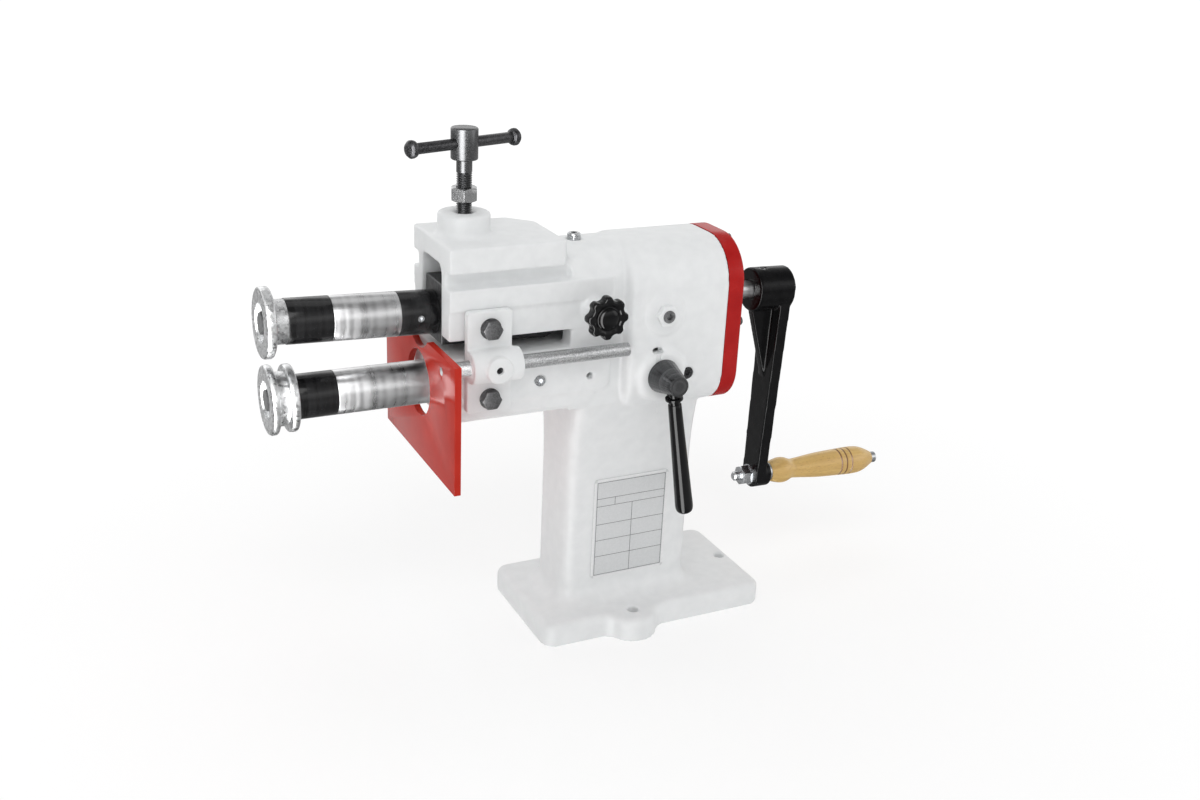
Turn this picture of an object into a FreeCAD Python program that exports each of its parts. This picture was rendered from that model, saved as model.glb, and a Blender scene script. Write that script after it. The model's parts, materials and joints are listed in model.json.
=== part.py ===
"""Hand-cranked bench bead roller, in millimetres.

The origin is the centre of the foot's underside. +X runs along the shafts, from the
rollers to the crank, +Y points away from the side that carries the lever, +Z is up.
The lower shaft is level. The upper shaft rides in a swing arm that tilts about two
cone screws, and rests with its rollers raised by open_tilt.
"""
import FreeCAD, Part
import Sketcher
import math
import os
import re
from FreeCAD import Placement, Rotation, Vector

# Driving sizes, in millimetres, degrees and counts
SIZES = {
    # Foot
    "foot_length": 245, "foot_width": 137, "foot_thick": 24,
    "foot_corner": 13, "foot_edge_round": 7,
    "lobe_across": -28, "lobe_centre": 64.5, "lobe_radius": 25, "lobe_blend": 16.5,
    "foot_hole": 11, "lobe_hole_out": 67, "end_hole_across": 111,
    # Column
    "column_front": -90.5, "column_back": 50, "column_half": 34, "column_corner": 15,
    "column_flare": 17, "column_wall": 10, "core_drop": 70.5,
    "neck_low": 158, "neck_drop": 61.5, "neck_middle_half": 37.2,
    "plate_left": -61, "plate_right": 21, "plate_low": 47.3, "plate_high": 155.7,
    "plate_thick": 1, "plate_corner": 4,
    # Shaft lines
    "lower_line": 266.5, "pivot_across": -7.5, "open_tilt": 1.76,
    "gear_teeth": 29, "gear_module": 2, "gear_across": 36,
    # Rear casing and its cover
    "casing_front": -97, "casing_back": 60, "casing_half": 56.5,
    "gear_clearance": 2.7, "casing_rise": 64.5, "casing_round_low": 35, "casing_round_high": 43,
    "casing_wall": 8, "shoulder_across": -44, "shoulder_round": 11, "shoulder_lap": 20,
    "front_round": 38,
    "gear_room_front": 19, "cover_thick": 17, "cover_edge": 2.5, "cover_skin": 5, "cover_rim": 7,
    "cover_shaft_hole": 12.5, "cover_screw": 4, "cover_screw_head": 4.2, "cover_screw_rise": 3,
    "cover_screw_deep": 11, "cover_boss": 7, "cover_boss_long": 30,
    "cover_screw_drop": 15.5, "cover_end_screw_out": 18,
    # Lower arm
    "head_front": -214.8, "arm_half": 45, "arm_drop": 28.5, "arm_rise": 33.5,
    "arm_edge_round": 7, "pad_half": 48, "pad_drop": 10.5, "pad_rise": 23.5, "pad_end": -57.7,
    "pad_corner": 8, "step_drop": 23.5, "step_end": -70, "step_half": 46.5, "step_slant": 8,
    "step_lap": 4,
    # Upper arm and head
    "side_half": 46, "slot_drop": 6.8, "slot_end": -101, "slot_round": 8.5, "rail_rise": 20,
    "rail_thick": 19.5, "top_edge": 5, "boss_edge": 2.5, "boss_sink": 10.5, "boss_sink_deep": 1.2,
    "rail_half": 48, "rail_end": -57, "web_half": 35, "top_rise": 53.5, "top_thick": 23,
    "top_end": -104, "top_chamfer": 22, "top_nick": 4, "screw_back": 30.3, "head_boss": 23.5,
    "head_boss_tall": 20.5, "channel_gap": 3, "channel_rise": 57.5, "channel_round": 9,
    # Swing arm
    "arm_block_wall": 6.45, "arm_block_up": 30, "arm_block_down": 25, "arm_front_gap": 1.8,
    "slant_from": -112, "slant_to": -92, "barrel_wall": 4.95, "arm_tail": 28,
    "arm_relief": 1.5, "pivot_block": 16,
    # Shafts, bushes and quill
    "shaft_radius": 12.5, "bush_wall": 3.5, "bush_length": 32, "running_gap": 0.05,
    "quill_wall": 7.95, "quill_sunk": 2.8, "quill_back": 14, "quill_relief": 1.5,
    "face_gap": 0.3, "gear_hub_wall": 3.5, "gear_face": 16, "lower_gear_face": 20,
    "shaft_nut_high": 8, "shaft_nut_wall": 4.5, "key_width": 6, "key_depth": 3,
    # Rollers and the sleeves behind them
    "upper_roller_reach": 144.9, "lower_roller_reach": 150.6, "roller_radius": 31,
    "rim_round": 2.2, "upper_flange": 9, "upper_hub": 19.5, "upper_roller_length": 21,
    "lower_flange": 7.4, "lower_groove": 9, "lower_groove_radius": 24, "lower_flange_back": 8,
    "roller_recess": 17.2, "recess_depth": 6, "sleeve_wall": 7.5,
    "upper_spacer": 38.5, "lower_spacer": 35.6, "collar_length": 35,
    "roller_screw_head": 9, "roller_screw_high": 4, "washer_lap": 0.5, "roller_washer_thick": 1.8,
    "roller_screw_radius": 5, "roller_screw_long": 24, "grub_screw": 3, "grub_socket": 1.7,
    "grub_sunk": 0.6,
    # Trunnion screws
    "trunnion_boss": 20, "trunnion_face": 59, "cone_screw": 6, "cone_screw_out": 65.5,
    "cone_tip": 4.5, "cone_tip_long": 5, "small_nut": 18.5, "small_nut_thick": 5.5,
    # Clamp knob
    "knob_across": -78, "knob_rise": 11.5, "knob_boss": 9.5, "knob_boss_face": 62,
    "knob_stud": 5, "knob_radius": 20, "knob_back": 66.5, "knob_face": 84, "knob_neck": 10,
    "knob_neck_long": 4, "scallop": 5.5, "scallop_out": 22.8, "knob_disc": 11, "knob_edge": 1.6,
    "knob_cap": 6,
    # Eccentric lever
    "lever_boss": 22, "lever_boss_foot": 27, "lever_face": 61, "lever_bore": 11,
    "lever_spigot": 7, "inner_lever_boss": 18, "eccentric": 5, "eccentric_pin": 5,
    "pin_gap": 1.95, "lever_hub_big": 16.5, "lever_hub_small": 9.5, "lever_hub_face": 92,
    "lever_out": 79, "lever_lean": 9.7, "lever_neck": 8.5, "lever_start": 14,
    "grip_thin": 6.25, "grip_thick": 8.75, "grip_long": 125, "lever_rod": 4.5, "lever_rod_in": 22,
    "lever_rod_top": 7, "lever_rod_end": 50, "grip_gap": 8,
    # Press screw
    "thread_radius": 7, "thread_left": 25.6, "screw_neck": 10.4, "screw_head_tall": 27.6,
    "screw_head_radius": 12, "screw_head_edge": 1, "bar_rise": 14, "bar_radius": 4.8,
    "bar_turn": 18, "bar_half": 56, "bar_knob": 7.7, "bar_knob_long": 8, "nut_width": 22,
    "nut_gap": 9.5, "nut_thick": 12,
    "nut_turn": 10.7, "thrust_radius": 10, "thrust_rise": 47.5,
    "screw_tip": 4.5, "screw_tip_long": 4, "spring_out": 17, "spring_radius": 4.2,
    "spring_hole": 4.9, "spring_wire": 1.2, "spring_pocket": 13,
    # Rod bracket, rod and stop plate
    "bracket_inset": 13.3, "bracket_long": 42, "bracket_drop": 14, "bracket_rise": 21.5,
    "bracket_face": 56, "rod_out": 60, "rod_rise": 31, "rod_radius": 6.4, "rod_back": -46,
    "rod_boss": 15, "rod_boss_long": 46.9, "clamp_inset": 23, "clamp_boss": 12,
    "clamp_face": 77, "clamp_hole": 3.3, "clamp_sunk": 3, "bracket_corner": 3,
    "bolt_inset": 21.5, "bolt_rise": 5.5, "bolt_drop": 1.5,
    "bolt_width": 16, "bolt_head": 6.4, "bolt_radius": 5, "bolt_long": 22, "bolt_washer": 1.2,
    "stop_gap": 12.2, "stop_thick": 6, "stop_half": 94.5, "stop_drop": 72.5, "stop_top_drop": 12.5,
    "stop_hole": 31, "notch_rise": 7.5, "slip_gap": 0.15,
    # Small fittings
    "guide_screw_across": -128, "guide_screw_rise": 5.5, "guide_screw": 5,
    "guide_tip": 3, "guide_tip_in": 2.5, "guide_proud": 0.6, "guide_slot_long": 16,
    "guide_slot_deep": 4, "spare_hole_across": -77.5, "spare_hole_rise": 4,
    "spare_hole": 3.4, "spare_hole_deep": 16, "filler_across": -77, "filler_radius": 6.2,
    "filler_proud": 5.5, "filler_edge": 1.5, "plug_socket": 2.5, "oil_plug": 5.5,
    "oil_plug_across": -12.4, "oil_plug_out": 54.2, "access_plug": 6, "access_across": 21.6,
    "access_drop": 2.3, "access_sunk": 1,
    # Crank
    "stub_radius": 8.9, "crank_hub": 22, "crank_hub_start": 127.5, "crank_hub_long": 41,
    "crank_plate_start": 154.5, "crank_plate": 12, "crank_top_half": 19, "crank_low_half": 14,
    "crank_throw": 206, "crank_web": 9, "crank_web_drop": 95, "crank_boss_end": 174,
    "crank_edge": 1.5, "crank_screw": 4, "crank_socket": 2.3, "crank_screw_across": 12,
    "grip_bolt": 5, "grip_bolt_start": 133.8, "grip_nut_start": 141.8, "grip_nut_thick": 10.5,
    "grip_washer": 11, "grip_start": 177.8, "grip_length": 133, "grip_end_cap": 6,
    "grip_cap_long": 6.5, "grip_play": 0.3, "grip_point": 1.5, "groove_out": 15.2,
    "groove": 0.9,
}

# Lines worked out from the driving sizes
LINES = {
    "gear_pitch": "gear_teeth * gear_module / 2",
    "upper_line": "lower_line + 2 * gear_pitch",
    "pivot_line": "upper_line + (gear_across - pivot_across) * tan(open_tilt * 1 deg)",
    "foot_half": "foot_width / 2",
    "lobe_gap": "foot_half - lobe_centre",
    "lobe_reach": "sqrt((lobe_radius + lobe_blend)^2 - (lobe_gap + lobe_blend)^2)",
    "lobe_touch": "lobe_centre + (lobe_gap + lobe_blend) * lobe_radius / (lobe_radius + lobe_blend)",
    "cover_back": "casing_back + cover_thick",
    "screw_inset": "casing_wall * 0.8",
    "arm_front": "head_front - pivot_across + arm_front_gap",
    "bush_radius": "shaft_radius + running_gap + bush_wall",
    "upper_gear_start": "gear_across - pivot_across - gear_face / 2",
    "upper_gear_end": "upper_gear_start + gear_face",
    "upper_nut_end": "upper_gear_end + shaft_nut_high",
    "upper_shaft_start": "upper_roller_front + recess_depth",
    "upper_spacer_start": "upper_roller_front + upper_roller_length",
    "upper_sleeve_start": "upper_spacer_start + upper_spacer",
    "collar_start": "arm_front - face_gap - collar_length",
    "lower_gear_start": "gear_across - lower_gear_face / 2",
    "lower_gear_end": "lower_gear_start + lower_gear_face",
    "lower_shaft_start": "lower_roller_front + recess_depth",
    "lower_groove_start": "lower_roller_front + lower_flange",
    "lower_back_start": "lower_groove_start + lower_groove",
    "lower_spacer_start": "lower_back_start + lower_flange_back",
    "lower_sleeve_start": "lower_spacer_start + lower_spacer",
    "root_radius": "gear_pitch - 1.25 * gear_module",
    "tip_radius": "gear_pitch + 0.9 * gear_module",
    "crank_end": "crank_hub_start + crank_hub_long",
    "grip_end": "grip_start + grip_length",
    "rod_start": "plate_front + stop_thick",
    # Heights, from the shaft lines
    "arm_low": "lower_line - arm_drop",
    "arm_high": "lower_line + arm_rise",
    "pad_low": "lower_line - pad_drop",
    "pad_high": "lower_line + pad_rise",
    "step_low": "lower_line - step_drop",
    "neck_middle": "lower_line - neck_drop",
    "core_top": "lower_line - core_drop",
    "bracket_low": "lower_line - bracket_drop",
    "rod_up": "lower_line + rod_rise",
    "bolt_low": "lower_line - bolt_drop",
    "stop_low": "lower_line - stop_drop",
    "guide_screw_up": "lower_line + guide_screw_rise",
    "spare_hole_up": "lower_line + spare_hole_rise",
    "access_up": "lower_line - access_drop",
    "slot_high": "upper_line - slot_drop",
    "rail_low": "upper_line + rail_rise",
    "casing_high": "upper_line + casing_rise",
    "cover_side_screw_up": "upper_line - cover_screw_drop",
    "top_low": "upper_line + top_rise",
    "channel_high": "upper_line + channel_rise",
    "knob_up": "upper_line + knob_rise",
    "bracket_high": "upper_line + bracket_rise",
    "bolt_high": "upper_line + bolt_rise",
    "stop_high": "upper_line - stop_top_drop",
    "notch_up": "upper_line + notch_rise",
    "thrust_high": "upper_line + thrust_rise",
    "rail_high": "rail_low + rail_thick",
    "top_high": "top_low + top_thick",
    "head_boss_high": "top_high + head_boss_tall",
    "nut_low": "head_boss_high + nut_gap",
    "thread_top": "nut_low + thread_left",
    "screw_head_low": "thread_top + screw_neck",
    "screw_head_high": "screw_head_low + screw_head_tall",
    "bar_up": "screw_head_low + bar_rise",
    "filler_high": "casing_high + filler_proud",
    "casing_low": "lower_line - tip_radius - gear_clearance - casing_wall",
    # Places along the head, from its front face
    "plate_front": "head_front - stop_gap",
    "quill_front": "head_front + quill_sunk",
    "screw_across": "head_front + screw_back",
    "bracket_front": "head_front + bracket_inset",
    "bracket_back": "bracket_front + bracket_long",
    "rod_boss_back": "bracket_front + rod_boss_long",
    "clamp_across": "bracket_front + clamp_inset",
    "bolt_across": "bracket_front + bolt_inset",
    "upper_roller_front": "head_front - upper_roller_reach",
    "lower_roller_front": "head_front - lower_roller_reach",
    # Rounds and widths, from the shaft
    "quill_radius": "bush_radius + quill_wall",
    "gear_hub": "shaft_radius + gear_hub_wall",
    "roller_washer": "shaft_radius + washer_lap",
    "arm_block_half": "bush_radius + arm_block_wall",
    "channel_half": "arm_block_half + channel_gap",
    "barrel_radius": "bush_radius + barrel_wall",
    "pin_reach": "bush_radius + pin_gap",
    "sleeve_radius": "shaft_radius + sleeve_wall",
    "shaft_nut_radius": "shaft_radius + shaft_nut_wall",
    # Bolt heads and the thrust pad
    "bolt_round": "bolt_width / 2 / cos(30 deg)",
    "thrust_low": "pivot_line + (pivot_across - screw_across) * tan(open_tilt * 1 deg)"
                  " + arm_block_up / cos(open_tilt * 1 deg) + face_gap",
}

doc = FreeCAD.newDocument("BeadRoller")
sheet = doc.addObject("Spreadsheet::Sheet", "Sizes")
for row, (alias, number) in enumerate(SIZES.items(), start=1):
    sheet.set(f"A{row}", alias)
    sheet.set(f"B{row}", str(number))
    sheet.setAlias(f"B{row}", alias)
doc.recompute()


def formula(text):
    """Writes out the lines in a text and points its sizes at the sheet."""
    def swap(match):
        word = match.group()
        if word in LINES:
            return "(" + formula(LINES[word]) + ")"
        return "Sizes." + word if word in SIZES else word
    return re.sub(r"[a-z][a-z_]*", swap, str(text))


def value(text):
    """The number that a text of sizes comes to."""
    result = sheet.evalExpression(formula(text))
    return float(getattr(result, "Value", result))


ALONG = {"x": Rotation(Vector(0, 1, 0), 90), "y": Rotation(Vector(1, 0, 0), -90), "z": Rotation()}
TURNED = {"x": Rotation(), "y": Rotation(Vector(0, 0, 1), 90), "z": Rotation(Vector(0, 1, 0), -90)}
OTHERS = {"x": "yz", "y": "xz", "z": "xy"}
parts = []


def place(thing, x=0, y=0, z=0, turn=None, angle=None):
    """Moves a thing to a point, with a fixed turn, and an angle bound to the sheet."""
    if turn is not None:
        thing.Placement = Placement(Vector(), turn)
    for axis, text in zip("xyz", (x, y, z)):
        thing.setExpression(f"Placement.Base.{axis}", formula(text))
    if angle is not None:
        thing.setExpression("Placement.Rotation.Angle", formula(angle))
    return thing


def on_arm(thing):
    """Seats a thing drawn along the upper shaft, from its pivot, on the tilted line."""
    turn = Rotation(Vector(0, 1, 0), value("open_tilt"))
    return place(thing, "pivot_across", 0, "pivot_line", turn, "open_tilt")


def on_lower(thing):
    """Seats a thing drawn along X on the lower shaft line."""
    return place(thing, 0, 0, "lower_line")


def keep(label, thing):
    """Names a finished sub-part."""
    thing.Label = label
    parts.append(thing)
    return thing


def box(name, x, y, z):
    """A block between pairs of planes."""
    thing = doc.addObject("Part::Box", name)
    for axis, size, (low, high) in zip("xyz", ("Length", "Width", "Height"), (x, y, z)):
        thing.setExpression(size, formula(f"({high}) - ({low})"))
        thing.setExpression(f"Placement.Base.{axis}", formula(low))
    return thing


def set_along(thing, along, start, at):
    """Points a round or prismatic thing along an axis, from a start plane, at two offsets."""
    spot = {along: start, OTHERS[along][0]: at[0], OTHERS[along][1]: at[1]}
    return place(thing, spot["x"], spot["y"], spot["z"], ALONG[along])


def bar(name, along, start, end, radius, at=(0, 0)):
    """A cylinder along an axis between two planes."""
    thing = doc.addObject("Part::Cylinder", name)
    thing.setExpression("Radius", formula(radius))
    thing.setExpression("Height", formula(f"({end}) - ({start})"))
    return set_along(thing, along, start, at)


def cone(name, along, start, end, first, second, at=(0, 0)):
    """A cone along an axis between two planes."""
    thing = doc.addObject("Part::Cone", name)
    thing.setExpression("Radius1", formula(first))
    thing.setExpression("Radius2", formula(second))
    thing.setExpression("Height", formula(f"({end}) - ({start})"))
    return set_along(thing, along, start, at)


def hexagon(name, along, start, end, round_radius, at=(0, 0)):
    """A six-sided prism along an axis, given the radius over its corners."""
    thing = doc.addObject("Part::Prism", name)
    thing.Polygon = 6
    thing.setExpression("Circumradius", formula(round_radius))
    thing.setExpression("Height", formula(f"({end}) - ({start})"))
    return set_along(thing, along, start, at)


def join(name, *things):
    thing = doc.addObject("Part::MultiFuse", name)
    thing.Shapes = list(things)
    thing.Refine = True
    return thing


def cut(name, base, *tools):
    thing = doc.addObject("Part::Cut", name)
    thing.Base = base
    if len(tools) == 1:
        thing.Tool = tools[0]
    else:
        thing.Tool = doc.addObject("Part::MultiFuse", name + "_tools")
        thing.Tool.Shapes = list(tools)
    return thing


def group(name, *things):
    """Separate solids kept as one thing."""
    thing = doc.addObject("Part::Compound", name)
    thing.Links = list(things)
    return thing


def common(name, base, tool):
    thing = doc.addObject("Part::Common", name)
    thing.Base = base
    thing.Tool = tool
    return thing


def rounded(name, base, *rounds):
    """Rounds the edges whose middle point passes a test, each test with its radius."""
    doc.recompute()
    thing = doc.addObject("Part::Fillet", name)
    thing.Base = base
    chosen = []
    for radius, wanted in rounds:
        size = value(radius)
        for number, edge in enumerate(base.Shape.Edges, start=1):
            middle = edge.valueAt((edge.FirstParameter + edge.LastParameter) / 2)
            if wanted(edge, middle):
                chosen.append((number, size, size))
    thing.Edges = chosen
    doc.recompute()
    return thing


def runs_along(edge, axis):
    """True for a straight edge parallel to an axis."""
    ends = [vertex.Point for vertex in edge.Vertexes]
    if len(ends) < 2 or edge.Curve.TypeId != "Part::GeomLine":
        return False
    run = ends[1] - ends[0]
    run.normalize()
    return abs(abs(getattr(run, axis)) - 1) < 1e-6


def near(number, text, slack=0.05):
    return abs(number - value(text)) < slack


def outline(body, role, points):
    """A closed sketch on an origin plane, every corner held at its sizes."""
    sketch = body.newObject("Sketcher::SketchObject", body.Name + "_outline")
    plane = [item for item in body.Origin.OriginFeatures if item.Role == role][0]
    sketch.AttachmentSupport = [(plane, "")]
    sketch.MapMode = "FlatFace"
    spots = [Vector(value(across), value(up), 0) for across, up in points]
    for number, spot in enumerate(spots):
        sketch.addGeometry(Part.LineSegment(spot, spots[(number + 1) % len(spots)]))
    for number in range(len(spots)):
        sketch.addConstraint(Sketcher.Constraint("Coincident", number, 2, (number + 1) % len(spots), 1))
    for number, (across, up) in enumerate(points):
        for kind, text in (("DistanceX", across), ("DistanceY", up)):
            held = sketch.addConstraint(Sketcher.Constraint(kind, -1, 1, number, 1, value(text)))
            sketch.setExpression(f"Constraints[{held}]", formula(text))
    return sketch


def turned(name, points):
    """A piece turned about X from its half outline of (along, radius) corners."""
    body = doc.addObject("PartDesign::Body", name)
    sketch = outline(body, "XZ_Plane", points)
    turn = body.newObject("PartDesign::Revolution", name + "_turned")
    turn.Profile = sketch
    turn.ReferenceAxis = (sketch, ["H_Axis"])
    turn.Angle = 360
    sketch.Visibility = False
    return body


def stepped(name, start, bore, *steps):
    """A turned piece with a bore and steps of (end, radius), from its start."""
    points = [(start, bore)]
    here = start
    for end, radius in steps:
        points += [(here, radius), (end, radius)]
        here = end
    return turned(name, points + [(here, bore)])


def plate(name, role, points, start, thick):
    """A flat piece cut to an outline on an origin plane and made thick from a start plane."""
    body = doc.addObject("PartDesign::Body", name)
    sketch = outline(body, role, points)
    pad = body.newObject("PartDesign::Pad", name + "_pad")
    pad.Profile = sketch
    pad.setExpression("Length", formula(thick))
    sketch.setExpression("AttachmentOffset.Base.z", formula(start))
    return body


def hex_head(name, along, start, end, width, at, chamfer_up=True):
    """A hexagon head whose outer corners are turned off."""
    corner = f"({width}) / 2 / cos(30 deg)"
    blank = hexagon(name + "_blank", along, start, end, corner, at)
    tall = f"(({end}) - ({start}))"
    big = f"({width}) / 2 * 0.96 + 1.73 * {tall}"
    small = f"({width}) / 2 * 0.96"
    ends = (big, small) if chamfer_up else (small, big)
    return common(name, blank, cone(name + "_trim", along, start, end, *ends, at))


# Foot: a slab with a bolt lobe on each side
slab = box("foot_slab", ("-foot_length / 2", "foot_length / 2"), ("-foot_half", "foot_half"),
           (0, "foot_thick"))
lobes = []
for side, sign in (("near", "-1"), ("far", "1")):
    low, high = ("-lobe_touch", "-foot_half + 5") if side == "near" else ("foot_half - 5", "lobe_touch")
    neck = box(f"lobe_neck_{side}", ("lobe_across - lobe_reach", "lobe_across + lobe_reach"),
               (low, high), (0, "foot_thick"))
    hollows = [bar(f"lobe_blend_{side}_{hand}", "z", 0, "foot_thick", "lobe_blend",
                   (f"lobe_across + ({hand_sign}) * lobe_reach", f"({sign}) * (foot_half + lobe_blend)"))
               for hand, hand_sign in (("left", "-1"), ("right", "1"))]
    lobes.append(cut(f"lobe_web_{side}", neck, *hollows))
    lobes.append(bar(f"lobe_round_{side}", "z", 0, "foot_thick", "lobe_radius",
                     ("lobe_across", f"({sign}) * lobe_centre")))
foot = rounded("foot_corners", join("foot_blank", slab, *lobes),
               ("foot_corner", lambda edge, spot: runs_along(edge, "z")
                and near(abs(spot.x), "foot_length / 2")))
foot = rounded("foot_top", foot,
               ("foot_edge_round", lambda edge, spot: near(spot.z, "foot_thick")))

# Column, flared into the foot
column = rounded("column", box("column_block", ("column_front", "column_back"),
                               ("-column_half", "column_half"), (0, "arm_high")),
                 ("column_corner", lambda edge, spot: runs_along(edge, "z")))
stand = rounded("stand", join("stand_blank", foot, column),
                ("column_flare", lambda edge, spot: near(spot.z, "foot_thick")
                 and value("column_front") - 1 < spot.x < value("column_back") + 1
                 and abs(spot.y) < value("column_half") + 1))


def casing_block(name, front, back, inset):
    """The rear casing's rounded section, set in from its outer skin."""
    blank = box(name + "_block", (front, back), (f"-(casing_half - {inset})", f"casing_half - {inset}"),
                (f"casing_low + {inset}", f"casing_high - {inset}"))
    middle = value("(casing_low + casing_high) / 2")
    return rounded(name, blank,
                   (f"casing_round_low - {inset}",
                    lambda edge, spot: runs_along(edge, "x") and spot.z < middle),
                   (f"casing_round_high - {inset}",
                    lambda edge, spot: runs_along(edge, "x") and spot.z > middle))


rear_casing = rounded("rear_casing", casing_block("casing_skin", "shoulder_across", "casing_back", "0"),
                      ("shoulder_round", lambda edge, spot: near(spot.x, "shoulder_across")))


def front_block(name, front, back, low, inset):
    """The narrower casing ahead of the shoulder, set in from its outer skin."""
    blank = box(name + "_block", (front, back), (f"-(arm_half - {inset})", f"arm_half - {inset}"),
                (low, f"casing_high - {inset}"))
    return rounded(name, blank, (f"front_round - {inset}", lambda edge, spot: runs_along(edge, "x")
                                 and near(spot.z, f"casing_high - {inset}")))


front_casing = front_block("front_casing", "casing_front", "shoulder_across + shoulder_lap", "arm_low", "0")


def section(name, half, corner, height):
    """A level rounded rectangle across the column, held at its sizes."""
    sketch = doc.addObject("Sketcher::SketchObject", name)
    sketch.setExpression("Placement.Base.z", formula(height))
    left, right, low, high = "column_front", "column_back", f"-({half})", half
    runs = [((right, f"{low} + {corner}"), (right, f"{high} - {corner}")),
            ((f"{right} - {corner}", high), (f"{left} + {corner}", high)),
            ((left, f"{high} - {corner}"), (left, f"{low} + {corner}")),
            ((f"{left} + {corner}", low), (f"{right} - {corner}", low))]
    centres = [(right, high, -1, -1, 0), (left, high, 1, -1, 90), (left, low, 1, 1, 180),
               (right, low, -1, 1, 270)]
    size = value(corner)
    for start, end in runs:
        ends = [Vector(value(across), value(up), 0) for across, up in (start, end)]
        sketch.addGeometry(Part.LineSegment(*ends))
    for across, up, right_way, up_way, turn in centres:
        circle = Part.Circle(Vector(value(across) + right_way * size, value(up) + up_way * size, 0),
                             Vector(0, 0, 1), size)
        sketch.addGeometry(Part.ArcOfCircle(circle, math.radians(turn), math.radians(turn + 90)))
    for number, ends in enumerate(runs):
        for point, spot in enumerate(ends, start=1):
            for kind, text in zip(("DistanceX", "DistanceY"), spot):
                held = sketch.addConstraint(Sketcher.Constraint(kind, -1, 1, number, point, value(text)))
                sketch.setExpression(f"Constraints[{held}]", formula(text))
    for number in range(4):
        sketch.addConstraint(Sketcher.Constraint("Coincident", 4 + number, 1, number, 2))
        sketch.addConstraint(Sketcher.Constraint("Coincident", 4 + number, 2, (number + 1) % 4, 1))
        held = sketch.addConstraint(Sketcher.Constraint("Radius", 4 + number, size))
        sketch.setExpression(f"Constraints[{held}]", formula(corner))
    return sketch


# Neck: the column widens smoothly up to the arm
neck = doc.addObject("Part::Loft", "neck")
neck.Sections = [section("neck_foot", "column_half", "column_corner", "neck_low"),
                 section("neck_waist", "neck_middle_half", "column_corner", "neck_middle"),
                 section("neck_head", "arm_half", "column_corner", "arm_low + 2")]
neck.Solid = True

# Lower arm with its side pads
lower_arm = rounded("lower_arm", box("lower_arm_block", ("head_front", "casing_front + 30"),
                                     ("-arm_half", "arm_half"), ("arm_low", "arm_high")),
                    ("arm_edge_round", lambda edge, spot: runs_along(edge, "x") and near(spot.z, "arm_low")))
pads = rounded("side_pads", box("side_pad_block", ("head_front", "pad_end"),
                                ("-pad_half", "pad_half"), ("pad_low", "pad_high")),
               ("pad_corner", lambda edge, spot: runs_along(edge, "y") and near(spot.x, "pad_end")))
lower_step = plate("side_step", "XZ_Plane",
                   [("head_front", "step_low"), ("step_end - step_slant", "step_low"),
                    ("step_end", "pad_low"), ("step_end", "pad_low + step_lap"),
                    ("head_front", "pad_low + step_lap")], "-step_half", "2 * step_half")

# Upper arm, rails and top plate
upper_arm = box("upper_arm", ("head_front", "casing_front + 30"), ("-side_half", "side_half"),
                ("slot_high", "rail_high"))
rails = box("rails", ("head_front", "rail_end"), ("-rail_half", "rail_half"), ("rail_low", "rail_high"))
web = box("web", ("head_front", "casing_front + 5"), ("-web_half", "web_half"), ("rail_low", "top_low + 1"))
top_plate = plate("top_plate", "XY_Plane",
                  [("head_front", "-rail_half"), ("top_end - top_nick", "-rail_half"),
                   ("top_end", "-rail_half + top_nick"),
                   ("top_end", "rail_half - top_chamfer"), ("top_end - top_chamfer", "rail_half"),
                   ("head_front", "rail_half")], "top_low", "top_high - top_low")
head_boss = bar("head_boss", "z", "top_low", "head_boss_high", "head_boss", ("screw_across", 0))
head_top = rounded("head_top", join("head_top_blank", top_plate, head_boss),
                   ("boss_edge", lambda edge, spot: near(spot.z, "head_boss_high")),
                   ("top_edge", lambda edge, spot: near(spot.z, "top_high")
                    and edge.Curve.TypeId == "Part::GeomCircle"))

# Bosses on the casing
trunnion_bosses = bar("trunnion_bosses", "y", "-trunnion_face", "trunnion_face", "trunnion_boss",
                      ("pivot_across", "pivot_line"))
lever_boss = cone("lever_boss", "y", "-lever_face", "-casing_half", "lever_boss", "lever_boss_foot",
                  ("pivot_across", "lower_line"))
lever_root = bar("lever_root", "y", "-casing_half", 0, "lever_boss_foot", ("pivot_across", "lower_line"))
knob_boss = bar("knob_boss", "y", "-knob_boss_face", "-channel_half", "knob_boss",
                ("knob_across", "knob_up"))

outside = join("casting_outside", stand, neck, rear_casing, front_casing, lower_arm, pads, lower_step,
               upper_arm, rails, web, head_top, trunnion_bosses, lever_boss, lever_root, knob_boss)

# Inside of the casting: what the cavity leaves standing
cavity_blank = join("cavity_blank",
                    casing_block("rear_cavity", "shoulder_across + casing_wall", "casing_back + 1",
                                 "casing_wall"),
                    front_block("front_cavity", "casing_front + casing_wall",
                                "shoulder_across + shoulder_lap", "arm_high", "casing_wall"))
inner_barrel = bar("inner_barrel", "x", "casing_front", "gear_room_front", "quill_radius + casing_wall",
                   (0, "lower_line"))
inner_bosses = group("inner_bosses",
                     bar("inner_trunnion_near", "y", "-casing_half", "-channel_half", "trunnion_boss - 5",
                         ("pivot_across", "pivot_line")),
                     bar("inner_trunnion_far", "y", "channel_half", "casing_half", "trunnion_boss - 5",
                         ("pivot_across", "pivot_line")),
                     bar("inner_knob", "y", "-casing_half", "-channel_half", "knob_boss",
                         ("knob_across", "knob_up")),
                     bar("inner_lever", "y", "-casing_half", "-quill_radius", "inner_lever_boss",
                         ("pivot_across", "lower_line")))
rear_bosses = []
COVER_SCREWS = []
for sign in ("-1", "1"):
    COVER_SCREWS.append((f"({sign}) * (casing_half - screw_inset)", "cover_side_screw_up"))
    COVER_SCREWS.append((f"({sign}) * cover_end_screw_out", "casing_high - screw_inset"))
    COVER_SCREWS.append((f"({sign}) * cover_end_screw_out", "casing_low + screw_inset"))
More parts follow.
